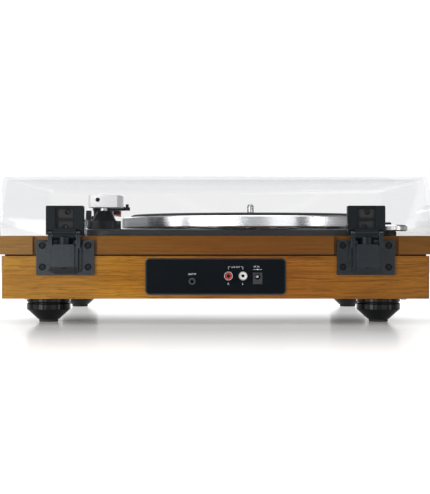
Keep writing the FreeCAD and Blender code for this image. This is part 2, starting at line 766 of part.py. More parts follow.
pocket_low = derived("pocket_low", axle_z + 0.4)
pocket_high = derived("pocket_high", pocket_low + pocket_tall)
pocket_back = derived("pocket_back", axle_y - 1)
arms = []
for hand, label in ((-1, "left"), (1, "right")):
    middle = hinge_x * hand
    half = pocket_wide / 2
    holder = prism("arm_holder", "XZ_Plane",
                   [(middle - half, pocket_low), (middle + half, pocket_low),
                    (middle + half, pocket_high - 0.8), (middle + half - 0.8, pocket_high),
                    (middle - half + 0.8, pocket_high), (middle - half, pocket_high - 0.8)],
                   cover_back - cover_wall - 2.5, pocket_back)
    hub = rod("arm_hub", middle - ear_inside + 0.3, axle_y, axle_z, hub_radius,
              ear_inside * 2 - 0.6, TO_RIGHT)
    neck = box("arm_neck", (middle - ear_inside + 0.3, middle + ear_inside - 0.3),
               (axle_y - hub_radius, pocket_back + 3), (axle_z, pocket_low + 6))
    whole = join(f"arm_solid_{label}", holder, hub, neck)
    tools = [box("arm_slot", (middle - half - 1, middle + half + 1),
                 (cover_back - cover_wall - slot_gap, cover_back + slot_gap),
                 (cover_low + seat_rise - 0.1, pocket_high + 1)),
             rod("arm_bore", middle - 30, axle_y, axle_z, axle_radius + fit_gap, 60, TO_RIGHT),
             box("arm_channel", (middle - 9, middle + 9), (pocket_back - 1.6, pocket_back + 6),
                 (pocket_low + 7.5, pocket_high - 1.8)),
             box("arm_window_low", (middle - 7.6, middle + 7.6),
                 (cover_back + slot_gap, pocket_back + 6), (pocket_low + 6.4, pocket_low + 13.4)),
             box("arm_window_high", (middle - 7.6, middle + 7.6),
                 (cover_back + slot_gap, pocket_back + 6), (pocket_low + 16.2, pocket_low + 24.6))]
    for step in (-1, 1):
        low = middle + (ear_inside + ear_thick / 2) * step - ear_thick / 2 - 0.5
        tools.append(rod("ear_relief", low, axle_y, axle_z, ear_radius + 0.5, ear_thick + 1,
                         TO_RIGHT))
    arms.append(cut(f"hinge_arm_{label}", whole, *tools))
node("hinge_arms", group("hinge_arms", *arms))

# ---------------------------------------------------------------- jack panel
panel_block = prism("jack_block", "XZ_Plane",
                    [(-jack_wide / 2, jack_z - jack_tall / 2), (jack_wide / 2, jack_z - jack_tall / 2),
                     (jack_wide / 2, jack_z + jack_tall / 2), (-jack_wide / 2, jack_z + jack_tall / 2)],
                    rear, jack_skin)


def runs_back(edge):
    box_of = edge.BoundBox
    return box_of.YLength > 0.5 and box_of.XLength < 0.01 and box_of.ZLength < 0.01


def at_jack_skin(edge):
    return min(corner.Point.y for corner in edge.Vertexes) > -0.01


round_edges(panel_block, jack_corner, runs_back, "corners")
doc.recompute()
bevel_tip = panel_block.Tip
bevel = panel_block.newObject("PartDesign::Chamfer", "jack_bevel")
bevel.Base = (bevel_tip, [f"Edge{i + 1}" for i, edge in enumerate(bevel_tip.Shape.Edges)
                          if at_jack_skin(edge)])
bind(bevel, "Size", jack_thick * 0.6)
panel_block.Tip = bevel
panel_tools = []
for x in (phono_right_x, phono_left_x):
    panel_tools.append(rod("phono_hole", x, rear - 1, phono_z, phono_radius + 0.1, 9, TO_REAR))
panel_tools.append(rod("aux_hole", aux_x, rear - 1, aux_z, 3.4, 9, TO_REAR))
panel_tools.append(box("power_hole", (power_x - 4.6, power_x + 4.6), (rear - 1, rear + 9),
                       (power_z - 7.2, power_z + 4)))
node("jack_panel", cut("jack_panel", panel_block, *panel_tools))

sleeves = []
for x in (phono_right_x, phono_left_x):
    sleeve = join("phono_sleeve",
                  rod("phono_root", x, board_face, phono_z, phono_radius - 0.2,
                      jack_skin - board_face, TO_REAR),
                  rod("phono_nose", x, jack_skin, phono_z, phono_radius, phono_reach, TO_REAR))
    sleeves.append(cut("phono_shell", sleeve, rod("phono_void", x, board_face - 1, phono_z,
                                                  phono_radius - 0.6, 60, TO_REAR)))
for x, label in ((phono_right_x, "red"), (phono_left_x, "white")):
    node(f"phono_insulator_{label}",
         tube(f"phono_insulator_{label}", x, board_face, phono_z, phono_radius - 0.65, 1.6,
              jack_skin + phono_reach - board_face - 1.2, TO_REAR))
aux_body = rod("aux_body", aux_x, board_face, aux_z, 3.3, jack_skin + 1 - board_face, TO_REAR)
node("aux_socket", cut("aux_socket", aux_body,
                       rod("aux_hollow", aux_x, jack_skin + 1 - aux_depth, aux_z, aux_bore,
                           aux_depth + 1, TO_REAR)))
power_block = box("power_block", (power_x - 4.5, power_x + 4.5), (board_face, jack_skin + 0.6),
                  (power_z - 7.1, power_z + 3.9))
power_hollow = rod("power_hollow", power_x, jack_skin + 0.6 - 9, power_z, power_bore, 10, TO_REAR)
node("power_socket", cut("power_socket", power_block, power_hollow,
                         rod("power_root_seat", power_x, board_face + 1, power_z,
                             power_pin + 0.35, jack_skin - 8.4 - board_face - 1, TO_REAR)))
sleeves.append(join("power_contact",
                    rod("power_root", power_x, board_face + 1, power_z, power_pin + 0.35,
                        jack_skin - 8.4 - board_face - 1, TO_REAR),
                    rod("power_tip", power_x, jack_skin - 8.4, power_z, power_pin, 7.5, TO_REAR)))
node("jack_contacts", group("jack_contacts", *sleeves))
jack_board = box("jack_board", (-56, 50), (board_face - 1.6, board_face),
                 (jack_z - 12.5, jack_z + 12.5))
main_low = foot_tall + board_thick + 7
main_block = box("main_block", (-84, 4), (86, 154), (main_low, main_low + 1.6))
main_tools = [rod("main_hole", x, y, main_low - 1, 1.3, 5) for x, y in board_spots]
node("circuit_boards", group("circuit_boards", jack_board, cut("main_board", main_block,
                                                               *main_tools)))
standoffs = []
for x, y in board_spots:
    post = join("standoff", rod("standoff_low", x, y, foot_tall, 1.2, board_thick + 10),
                rod("standoff_body", x, y, foot_tall + board_thick, 3, 7))
    standoffs.append(post)
parts_on_board = [box("chip_sink", (-60, -30), (100, 112), (main_low + 1.6, main_low + 16))]
for count in range(3):
    parts_on_board.append(rod("capacitor", as_size(-18 - 14 * count), 135, main_low + 1.6, 4.5, 12))
node("board_parts", group("board_parts", *parts_on_board))

# ---------------------------------------------------------------- mechanism panel
panel_half = panel_wide / 2
mech_block = prism("mech_block", "XY_Plane",
                   [(-panel_half, -panel_front), (panel_half, -panel_front),
                    (panel_half, panel_rear), (-panel_half, panel_rear)], deck_top, panel_top)
round_edges(mech_block, panel_corner, is_upright, "corners")
doc.recompute()
mech_level = mech_block.Tip.Shape.BoundBox.ZMax
round_edges(mech_block, size("panel_edge", 1.8), is_level_at(mech_level), "edge")

speed_x = size("speed_x", -146)
speed_y = size("speed_y", -138)
stop_x = size("stop_x", 138)
stop_y = size("stop_y", -138)
rest_y = size("rest_y", -40)
rest_x = derived("rest_x", pivot_x + (pivot_y - rest_y) * sin_of(arm_angle))
lever_x = derived("lever_x", lift_x + 7.5)
slot_travel = size("slot_travel", 9)

mech_tools = [box("mech_recess", (14 - panel_half, panel_half - 14),
                  (14 - panel_front, panel_rear - 14), (deck_top - 1, panel_under)),
              rod("bearing_hole", platter_x, platter_y, panel_under - 1, 9.1, 9),
              rod("motor_hole", motor_x, motor_y, panel_under - 1, 8, 9),
              rod("yaw_hole", pivot_x, pivot_y, panel_under - 1, 6, 9),
              rod("lift_hole", lift_x, lift_y, panel_under - 1, 3, 9),
              box("speed_slot", (speed_x - 1.5, speed_x + 1.5),
                  (speed_y - 3, speed_y + slot_travel + 3), (panel_under - 1, panel_top + 1)),
              box("stop_slot", (stop_x - 1.5, stop_x + 1.5),
                  (stop_y - 3, stop_y + slot_travel + 3), (panel_under - 1, panel_top + 1))]
for x, y in panel_screw_spots:
    mech_tools.append(rod("mech_screw_hole", x, y, deck_top - 1, 1.6, 20))
    mech_tools.append(rod("mech_screw_dish", x, y, panel_top - 2, 3.2, 20))
    black_screws.append(screw("panel_screw", x, y, panel_top - 2, as_size(2.9), as_size(1.7),
                              as_size(1.45), as_size(16), UPRIGHT))
for count in range(3):
    turn_to = as_size(count * 120 + 30)
    mech_tools.append(rod("bearing_screw_hole", platter_x + cos_of(turn_to) * 17,
                          platter_y + sin_of(turn_to) * 17, panel_under - 1, 1.2, 3))
    mech_tools.append(rod("motor_screw_hole", motor_x + cos_of(turn_to) * 14,
                          motor_y + sin_of(turn_to) * 14, panel_under - 1, 1.2, 3))
node("mechanism_panel", cut("mechanism_panel", mech_block, *mech_tools))
node("black_screws", group("black_screws", *black_screws))

# ---------------------------------------------------------------- platter and drive
bearing_low = derived("bearing_low", panel_under - 26)
washer_low = derived("washer_low", platter_low - 0.8)
flange = rod("bearing_flange", platter_x, platter_y, panel_under - 3, 22, 3)
barrel = rod("bearing_barrel", platter_x, platter_y, bearing_low, 9, washer_low - bearing_low)
bearing_tools = [rod("bearing_bore", platter_x, platter_y, bearing_low + 2, bearing_radius + 0.01,
                     60)]
bearing_screws = []
motor_screws = []
motor_mounts = []
for count in range(3):
    turn_to = as_size(count * 120 + 30)
    x = platter_x + cos_of(turn_to) * 17
    y = platter_y + sin_of(turn_to) * 17
    bearing_tools.append(rod("flange_hole", x, y, panel_under - 5, 1.2, 8))
    bearing_screws.append(screw("bearing_screw", x, y, panel_under - 3, as_size(2.2),
                                as_size(1.4), as_size(1.15), as_size(4.6), DOWNWARD))
    x = motor_x + cos_of(turn_to) * 14
    y = motor_y + sin_of(turn_to) * 14
    motor_mounts.append(tube("motor_mount", x, y, panel_under - 2.5, 3, 1.2, 2.5))
    motor_screws.append(screw("motor_screw", x, y, panel_under - 4, as_size(2.2), as_size(1.4),
                              as_size(1.15), as_size(5.6), DOWNWARD))
node("spindle_bearing", cut("spindle_bearing", join("bearing_solid", flange, barrel),
                            *bearing_tools))
node("thrust_washer", tube("thrust_washer", platter_x, platter_y, washer_low, 7.5,
                           bearing_radius + 0.02, platter_low - washer_low))
shoulder = derived("shoulder", platter_top + 1.3)
tip_high = derived("tip_high", mat_top + spindle_tall)
node("spindle", spin("spindle", platter_x, platter_y, 0,
                     [(0, bearing_low + 2), (bearing_radius, bearing_low + 2),
                      (bearing_radius, shoulder), (spindle_radius, shoulder),
                      (spindle_radius, tip_high - 3), (spindle_radius - 0.4, tip_high - 1.9),
                      (spindle_radius - 1.2, tip_high - 0.8), (spindle_radius - 2.3, tip_high - 0.2),
                      (0, tip_high)]))
clip_ring = tube("clip_ring", platter_x, platter_y, platter_top + 0.1, 7, bearing_radius + 0.02, 0.8)
node("spindle_clip", cut("spindle_clip", clip_ring,
                         box("clip_gap", (platter_x - 2.5, platter_x + 2.5),
                             (platter_y, platter_y + 20), (platter_top, platter_top + 2))))
node("platter_bush", tube("platter_bush", platter_x, platter_y, platter_low + 0.1, 8,
                          bearing_radius + fit_gap, platter_tall - 0.1))
rim_in = platter_radius - platter_rim
node("platter", spin("platter", platter_x, platter_y, 0,
                     [(8.05, platter_low + 0.6), (14, platter_low + 0.6), (14, platter_under),
                      (drive_radius - 3.5, platter_under), (drive_radius - 3.5, platter_low + 1),
                      (drive_radius, platter_low + 1), (drive_radius, platter_under),
                      (rim_in, platter_under), (rim_in, platter_low),
                      (platter_radius - 0.8, platter_low), (platter_radius, platter_low + 0.8),
                      (platter_radius, platter_top - 1.2), (platter_radius - 1.2, platter_top),
                      (8.05, platter_top)]))
mat_profile = [(9, platter_top + 0.02), (mat_radius, platter_top + 0.02),
               (mat_radius, mat_top - 1.2), (mat_radius - 2.5, mat_top)]
rib_count = 9
rib_step = (mat_radius - 2.5 - 62) / rib_count
for count in range(rib_count):
    outer = mat_radius - 2.5 - rib_step * count
    mat_profile += [(outer - 3.2, mat_top), (outer - 3.7, mat_top - 0.7),
                    (outer - 4.9, mat_top - 0.7), (outer - 5.4, mat_top)]
mat_profile += [(52, mat_top), (51, mat_top - 0.9), (9, mat_top - 0.9)]
node("record_mat", spin("record_mat", platter_x, platter_y, 0, mat_profile))

motor_low = derived("motor_low", panel_under - 28)
motor_can = rod("motor_can", motor_x, motor_y, motor_low, motor_radius, 22)
motor_plate = rod("motor_plate", motor_x, motor_y, panel_under - 4, motor_radius, 1.5)
motor_neck = rod("motor_neck", motor_x, motor_y, motor_low + 22, 10.5,
                 panel_under - 3 - motor_low - 22)
motor_nose = rod("motor_nose", motor_x, motor_y, panel_under - 4, 5, 6)
motor_tools = [rod("motor_bore", motor_x, motor_y, motor_low + 4, 1 + fit_gap, 60)]
for count in range(3):
    turn_to = as_size(count * 120 + 30)
    motor_tools.append(rod("motor_ear_hole", motor_x + cos_of(turn_to) * 14,
                           motor_y + sin_of(turn_to) * 14, motor_low + 21, 2.6, 3))
    motor_tools.append(rod("motor_ear_hole", motor_x + cos_of(turn_to) * 14,
                           motor_y + sin_of(turn_to) * 14, panel_under - 5, 1.2, 5))
node("drive_motor", cut("drive_motor", join("motor_solid", motor_can, motor_plate, motor_neck,
                                            motor_nose), *motor_tools))
node("rubber_pads", group("rubber_pads", *pads, *motor_mounts))
node("steel_screws", group("steel_screws", *case_screws, *foot_screws, *bearing_screws,
                           *motor_screws, *standoffs))
motor_shaft = rod("motor_shaft", motor_x, motor_y, motor_low + 4.1, 1,
                  platter_under - 3 - motor_low - 4.1)
belt_low = derived("belt_low", platter_low + 1.9)
pulley = spin("pulley_body", motor_x, motor_y, 0,
              [(1.01, panel_top + 1.2), (pulley_radius + 1.2, panel_top + 1.2),
               (pulley_radius + 1.2, belt_low - 0.6), (pulley_radius, belt_low - 0.3),
               (pulley_radius, belt_low + belt_tall + 0.2),
               (pulley_radius - 1, platter_under - 0.6), (1.01, platter_under - 0.6)])
node("motor_pulley", group("motor_pulley", pulley, motor_shaft))


def belt_shape(name, swell, low, high):
    """The outline of two pulleys joined by their outer tangents."""
    big = drive_radius + swell
    small = pulley_radius + swell
    lean = (big - small) / motor_span
    rise = root_of(1 - lean * lean)
    web = prism(f"{name}_web", "XY_Plane",
                [(big * lean, big * rise), (big * lean, -big * rise),
                 (motor_span + small * lean, -small * rise),
                 (motor_span + small * lean, small * rise)], low, high)
    return join(name, web, rod(f"{name}_big", 0, 0, low, big, high - low),
                rod(f"{name}_small", motor_span, 0, low, small, high - low))


belt = cut("drive_belt", belt_shape("belt_outer", belt_thick + 0.1, belt_low, belt_low + belt_tall),
           belt_shape("belt_inner", 0.1, belt_low - 1, belt_low + belt_tall + 1))
bind(belt, "Placement.Base.x", platter_x)
bind(belt, "Placement.Base.y", platter_y)
belt.Placement = FreeCAD.Placement(Vector(0, 0, 0), Rotation(Vector(0, 0, 1), 1))
bind(belt, "Placement.Rotation.Angle", motor_angle)
node("drive_belt", belt)

# ---------------------------------------------------------------- single-record adapter
node("adapter_post", spin("adapter_post", post_x, post_y, 0,
                          [(0, deck_top - 8.5), (3, deck_top - 8.5), (3, deck_top),
                           (8.3, deck_top), (8.3, deck_top + 4), (7.7, deck_top + 4.6),
                           (3.4, deck_top + 4.6), (3.4, deck_top + 12.6), (2.6, deck_top + 13.4),
                           (0, deck_top + 13.4)]))
disc_low = derived("disc_low", deck_top + 4.7)
node("single_adapter", spin("single_adapter", post_x, post_y, 0,
                            [(3.65, disc_low), (18, disc_low), (19, disc_low + 1),
                             (19, disc_low + 4.6), (17.6, disc_low + 6.2), (11, disc_low + 6.2),
                             (9.5, disc_low + 5), (6.2, disc_low + 5), (5.2, disc_low + 6.2),
                             (3.65, disc_low + 6.2)]))

# ---------------------------------------------------------------- knobs and switches
controls = []
for hand, label in ((1, "volume"), (-1, "source")):
    x = knob_x * hand
    profile = [(knob_shaft + 0.02, 0), (knob_radius, 0), (knob_radius, hinge_reach - 2),
               (knob_radius - 1.2, hinge_reach - 0.8), (0, hinge_reach - 0.8),
               (0, hinge_reach - 4), (knob_shaft + 0.02, hinge_reach - 4)]
    head = spin(f"{label}_head", x, front - 0.8, front_mid, profile, TO_FRONT)
    mark = box(f"{label}_mark", (x - 0.6, x + 0.6), (front - hinge_reach - 1, front - hinge_reach + 0.8),
               (front_mid + 3, front_mid + knob_radius + 1))
    stem = rod(f"{label}_shaft", x, front - hinge_reach + 4.1, front_mid, knob_shaft,
               wall_thick + hinge_reach + 4, TO_REAR)
    node(f"{label}_knob", group(f"{label}_knob", cut(f"{label}_cap", head, mark), stem))
    base = box(f"{label}_case", (x - 9, x + 9), (front + wall_thick, front + wall_thick + 11),
               (front_mid - 9, front_mid + 9))
    controls.append(cut(f"{label}_control", base,
                        rod("control_bore", x, front + 2, front_mid, knob_shaft + fit_gap, 19,
                            TO_REAR)))
node("panel_controls", group("panel_controls", *controls))

switches = []
for x, y, label in ((speed_x, speed_y, "speed"), (stop_x, stop_y, "auto_stop")):
    cap = prism(f"{label}_cap", "YZ_Plane",
                [(y - 4.5, panel_top + 0.3), (y + 4.5, panel_top + 0.3), (y + 3.5, panel_top + 4),
                 (y + 1.2, panel_top + 4.8), (y - 1.2, panel_top + 4.8), (y - 3.5, panel_top + 4)],
                x - 4, x + 4)
    stem = box(f"{label}_stem", (x - 1.2, x + 1.2), (y - 1.5, y + 1.5),
               (panel_under - 4, panel_top + 1))
    node(f"{label}_slider", join(f"{label}_slider", cap, stem))
    case = box(f"{label}_case", (x - 5, x + 5), (y - 8, y + slot_travel + 8),
               (panel_under - 7.5, panel_under))
    room = box(f"{label}_room", (x - 2, x + 2), (y - 2.5, y + slot_travel + 2.5),
               (panel_under - 5, panel_under + 1))
    switches.append(cut(f"{label}_switch", case, room))
node("switch_bodies", group("switch_bodies", *switches))

# ---------------------------------------------------------------- tonearm base and housing
def aim(thing):
    """Turn a piece drawn along -Y from the pivot to the parked direction of the arm."""
    thing.Placement = FreeCAD.Placement(Vector(0, 0, 0), Rotation(Vector(0, 0, 1), 1))
    bind(thing, "Placement.Base.x", pivot_x)
    bind(thing, "Placement.Base.y", pivot_y)
    bind(thing, "Placement.Rotation.Angle", arm_angle)
    return thing


base_low = rod("arm_base_low", pivot_x, pivot_y, panel_top, 17.3, 8.3)
base_cone = spin("arm_base_cone", pivot_x, pivot_y, 0,
                 [(0, panel_top + 8), (12.8, panel_top + 8), (12.8, panel_top + 8.3),
                  (6.8, housing_low - 3), (0, housing_low - 3)])
node("tonearm_base", cut("tonearm_base", join("arm_base_solid", base_low, base_cone),
                         rod("yaw_bore", pivot_x, pivot_y, panel_top + 2, yaw_radius + fit_gap,
                             60)))
node("yaw_shaft", rod("yaw_shaft", pivot_x, pivot_y, panel_top + 2.5, yaw_radius,
                      housing_low - panel_top - 2.5))
house_left = derived("house_left", pivot_x + 13.3)
house_right = derived("house_right", house_left - housing_wide)
house = prism("house_block", "XY_Plane",
              [(house_left, pivot_y - 14), (house_left, pivot_y + 24), (house_left - 2.5, pivot_y + 28),
               (house_left - 13, pivot_y + 30), (house_right + 3.5, pivot_y + 26.5),
               (house_right, pivot_y + 20), (house_right, pivot_y - 10),
               (house_right + 4, pivot_y - 14)], housing_low, housing_low + housing_tall)
channel_low = derived("channel_low", arm_z - 4)
house_tools = [aim(group("house_channel", box("house_slot", (-channel_half, channel_half), (-24, 19),
                                              (channel_low, channel_low + channel_tall)))),
               aim(group("house_pin_bore", rod("house_pin_hole", -11.2, 0, arm_z,
                                               pivot_pin + 0.01, 22.4, TO_RIGHT))),
               rod("house_eye", pivot_x + 3.6, pivot_y + 22, arm_z + 1.3, 2.2, 12, TO_REAR)]
pivot_cap = spin("pivot_cap", pivot_x, pivot_y, housing_low + housing_tall,
                 [(0, 0), (7.5, 0), (7.5, 0.7), (3.4, 2), (0, 2)])
node("pivot_housing", group("pivot_housing", cut("housing_body", house, *house_tools), pivot_cap))
pin_reach = 3.5
pin_out = 11
pins = []
for start in (as_size(-pin_out), channel_half - pin_reach):
    pins.append(rod("pivot_pin", start, 0, arm_z, pivot_pin, pin_out + pin_reach - channel_half,
                    TO_RIGHT))
node("pivot_pins", aim(group("pivot_pins", *pins)))

# ---------------------------------------------------------------- arm assembly
carrier_block = box("carrier_block", (0.6 - channel_half, channel_half - 0.6), (-17, 14),
                    (arm_z - 2.6, arm_z + 2.6))
carrier_boss = rod("carrier_boss", 0, -28, arm_z, tube_bore - 0.1, 12, TO_REAR)
carrier = cut("arm_carrier", join("carrier_solid", carrier_block, carrier_boss),
              rod("carrier_bore", -20, 0, arm_z, pivot_pin + fit_gap, 40, TO_RIGHT))
node("arm_carrier", aim(carrier))
tube_start = size("tube_start", 20)
shell_start = derived("shell_start", arm_length - 22)
node("arm_tube", aim(tube("arm_tube", 0, -shell_start, arm_z, tube_radius, tube_bore,
                          shell_start - tube_start, TO_REAR)))
neck_piece = rod("shell_neck", 0, -shell_start - 8, arm_z, tube_bore - 0.1, 16, TO_REAR)
collar = rod("shell_collar", 0, -shell_start - 8, arm_z, tube_radius + 0.7, 7.9, TO_REAR)
plate = prism("shell_plate", "XY_Plane",
              [(-5, 2), (5, 2), (7.6, -8), (7.6, -27), (5.4, -31), (-5.4, -31), (-7.6, -27), (-7.6, -8)],
              arm_z - 1.5, arm_z + 1.5)
plate.Placement = FreeCAD.Placement(Vector(0, 0, 0), Rotation(Vector(0, 0, -1), 1))
bind(plate, "Placement.Base.x", 0)
bind(plate, "Placement.Base.y", -shell_start - 6)
bind(plate, "Placement.Base.z", arm_z - 1.5)
bind(plate, "Placement.Rotation.Angle", offset_angle)


def under_shell(thing, drop):
    """Fix a piece under the angled headshell and carry it with the arm."""
    thing.Placement = FreeCAD.Placement(Vector(0, 0, 0), Rotation(Vector(0, 0, -1), 1))
    bind(thing, "Placement.Base.x", 0)
    bind(thing, "Placement.Base.y", -shell_start - 6)
    bind(thing, "Placement.Base.z", drop)
    bind(thing, "Placement.Rotation.Angle", offset_angle)
    return thing


cartridge = under_shell(prism("cartridge_block", "XY_Plane",
                              [(-5.2, -9), (5.2, -9), (5.2, -18.6), (-5.2, -18.6)],
                              0, 6.4), arm_z - 8)
node("cartridge", aim(group("cartridge", cartridge)))
stylus_block = under_shell(prism("stylus_block", "YZ_Plane",
                                 [(-9, 0), (-9, -1.6), (-23.5, -2.6), (-25, -1.4), (-25, 4.4),
                                  (-18.7, 4.4), (-18.7, 0)], -3.6, 3.6), arm_z - 8.1)
bind(stylus_block, "Placement.Base.x", -3.6 * cos_of(offset_angle))
bind(stylus_block, "Placement.Base.y", -shell_start - 6 + 3.6 * sin_of(offset_angle))
node("stylus", aim(group("stylus", stylus_block)))
finger = prism("finger_bar", "XZ_Plane",
               [(7.1, 1.4), (7.1, -0.2), (15, -0.2), (20, 4), (19, 5), (14.4, 1.4)], -21, -15)
finger.Placement = FreeCAD.Placement(Vector(0, 0, 0), Rotation(Vector(0, 0, -1), 1))
bind(finger, "Placement.Base.x", -15 * sin_of(offset_angle))
bind(finger, "Placement.Base.y", -shell_start - 6 - 15 * cos_of(offset_angle))
bind(finger, "Placement.Base.z", arm_z)
bind(finger, "Placement.Rotation.Angle", offset_angle)
node("headshell", aim(join("headshell", neck_piece, collar, plate, finger)))

# ---------------------------------------------------------------- arm lift and rest
lift_top = derived("lift_top", tube_low - 0.3)
post_top = derived("post_top", lift_top - 9)
lift_post = rod("lift_post_body", lift_x, lift_y, panel_top, 5, post_top - panel_top)
lift_guide = cut("lift_guide", lift_post,
                 rod("lift_bore", lift_x, lift_y, panel_top + 1.5, 2.5 + fit_gap, 40))
lift_rod = rod("lift_rod", lift_x, lift_y, panel_top + 2, 2.5, lift_top - 3.4 - panel_top - 2)
ring_bar = tube("lift_ring_bar", pivot_x, pivot_y, lift_top - 3.5, lift_ring + 2.5,
                lift_ring - 2.5, 3.5)


def ray(angle, reach):
    return (pivot_x + cos_of(angle) * reach, pivot_y + sin_of(angle) * reach)


sector = prism("lift_sector", "XY_Plane",
               [(pivot_x, pivot_y), ray(lift_angle + 5.2, 60), ray(lift_angle - 40, 70),
                ray(lift_angle - 79, 60)], lift_top - 5, lift_top + 2)
horn_spot = ray(lift_angle - 76, lift_ring)
horn = rod("lift_horn", horn_spot[0], horn_spot[1], lift_top - 3.5, 1.6, 6.5)
node("lift_bar", join("lift_bar", common("lift_arc", ring_bar, sector), horn, lift_rod))

lever_low = derived("lever_low", panel_top + 5.5)
bracket = box("lever_bracket", (lever_x - 6.5, lever_x + 6.5), (lift_y - 5, lift_y + 5),
              (panel_top, panel_top + 9))
bracket_round = rod("lever_eye", lever_x - 6.5, lift_y, lever_low, 5, 13, TO_RIGHT)
gap = box("lever_gap", (lever_x - 3.8, lever_x + 3.8), (lift_y - 20, lift_y + 20),
          (panel_top - 0.1, panel_top + 30))
bracket_cut = box("lever_clear", (lever_x - 20, lift_x + 5.3), (lift_y - 20, lift_y + 20),
                  (panel_top - 1, panel_top + 40))
cheek_floor = box("lever_floor", (lift_x + 5.3, lever_x + 6.5), (lift_y - 5, lift_y + 5),
                  (panel_top, panel_top + 0.6))
cheeks = cut("lever_cheeks", join("lever_solid", bracket, bracket_round), gap, bracket_cut)
stand = cut("lever_stand", join("lever_stand_solid", cheeks, cheek_floor),
            rod("lever_axle_hole", lever_x - 20, lift_y, lever_low, 1.51, 40, TO_RIGHT))
node("lift_stand", group("lift_stand", lift_guide, stand))
axles.append(rod("lever_axle", lift_x + 5.4, lift_y, lever_low, 1.5,
                 lever_x + 6.5 - lift_x - 5.4, TO_RIGHT))
node("axles", group("axles", *axles))
lever_hub = rod("lever_hub", lift_x + 5.4, lift_y, lever_low, 4, lever_x + 3.5 - lift_x - 5.4,
                TO_RIGHT)
lever_arm = prism("lever_arm", "YZ_Plane",
                  [(lift_y - 2.5, lever_low + 1), (lift_y + 2.5, lever_low + 1),
                   (lift_y - 5, lever_low + 14.5), (lift_y - 9, lever_low + 13)],
                  lift_x + 5.4, lever_x + 3.5)
node("cue_lever", cut("cue_lever", join("lever_whole", lever_hub, lever_arm),
                      rod("lever_bore", lever_x - 20, lift_y, lever_low, 1.5 + fit_gap, 40,
                          TO_RIGHT)))

rest_post = rod("rest_post", rest_x + 2, rest_y, panel_top, 5, tube_low - 8 - panel_top)
rest_shelf = prism("rest_shelf", "XZ_Plane",
                   [(rest_x - 5, tube_low - 0.3), (rest_x - 5, tube_low - 4),
                    (rest_x + 1, tube_low - 9), (rest_x + 9.5, tube_low - 9),
                    (rest_x + 9.5, arm_z + 4), (rest_x + 6, arm_z + 5),
                    (rest_x + 5.6, tube_low - 0.3)], rest_y - 5, rest_y + 5)
node("arm_rest", join("arm_rest", rest_post, rest_shelf))

# ---------------------------------------------------------------- check and write
doc.recompute()
faults = []
for thing in doc.Objects:
    if any(word in thing.State for word in ("Invalid", "Error")):
        faults.append(f"{thing.Name}: {thing.State}")
for thing in nodes:
    if thing.Shape.isNull() or not thing.Shape.isValid() or not thing.Shape.Solids:
        faults.append(f"{thing.Label}: bad shape")
if faults:
    raise RuntimeError("; ".join(faults))

os.makedirs("parts", exist_ok=True)
for thing in nodes:
    thing.Shape.exportStep(f"parts/{thing.Label}.step")
print(len(nodes), "nodes written")
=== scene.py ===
import math

import bmesh
import bpy
from mathutils import Matrix, Vector


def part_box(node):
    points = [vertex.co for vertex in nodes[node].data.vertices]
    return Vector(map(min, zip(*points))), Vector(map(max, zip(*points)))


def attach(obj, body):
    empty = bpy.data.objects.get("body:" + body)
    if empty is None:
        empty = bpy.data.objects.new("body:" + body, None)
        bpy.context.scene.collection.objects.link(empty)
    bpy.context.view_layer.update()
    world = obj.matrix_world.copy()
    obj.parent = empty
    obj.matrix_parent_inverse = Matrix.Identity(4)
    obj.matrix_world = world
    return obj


# The looks of a belt-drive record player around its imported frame. Metres, +Z up, rear at +Y.
MM = 0.001
PRINT_LIFT = 0.00002
PRINT_THICK = 0.00003
HINGE_INSET = 0.0285
WELD_DISTANCE = 0.00002
BEVEL_ANGLE = math.radians(34)
CAP_SHARE = 0.7

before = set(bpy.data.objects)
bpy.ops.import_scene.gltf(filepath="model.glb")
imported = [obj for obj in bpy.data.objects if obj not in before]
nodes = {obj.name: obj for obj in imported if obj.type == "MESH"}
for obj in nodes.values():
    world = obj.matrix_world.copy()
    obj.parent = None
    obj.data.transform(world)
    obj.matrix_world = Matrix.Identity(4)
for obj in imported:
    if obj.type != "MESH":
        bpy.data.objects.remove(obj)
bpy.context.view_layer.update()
scene = bpy.context.scene


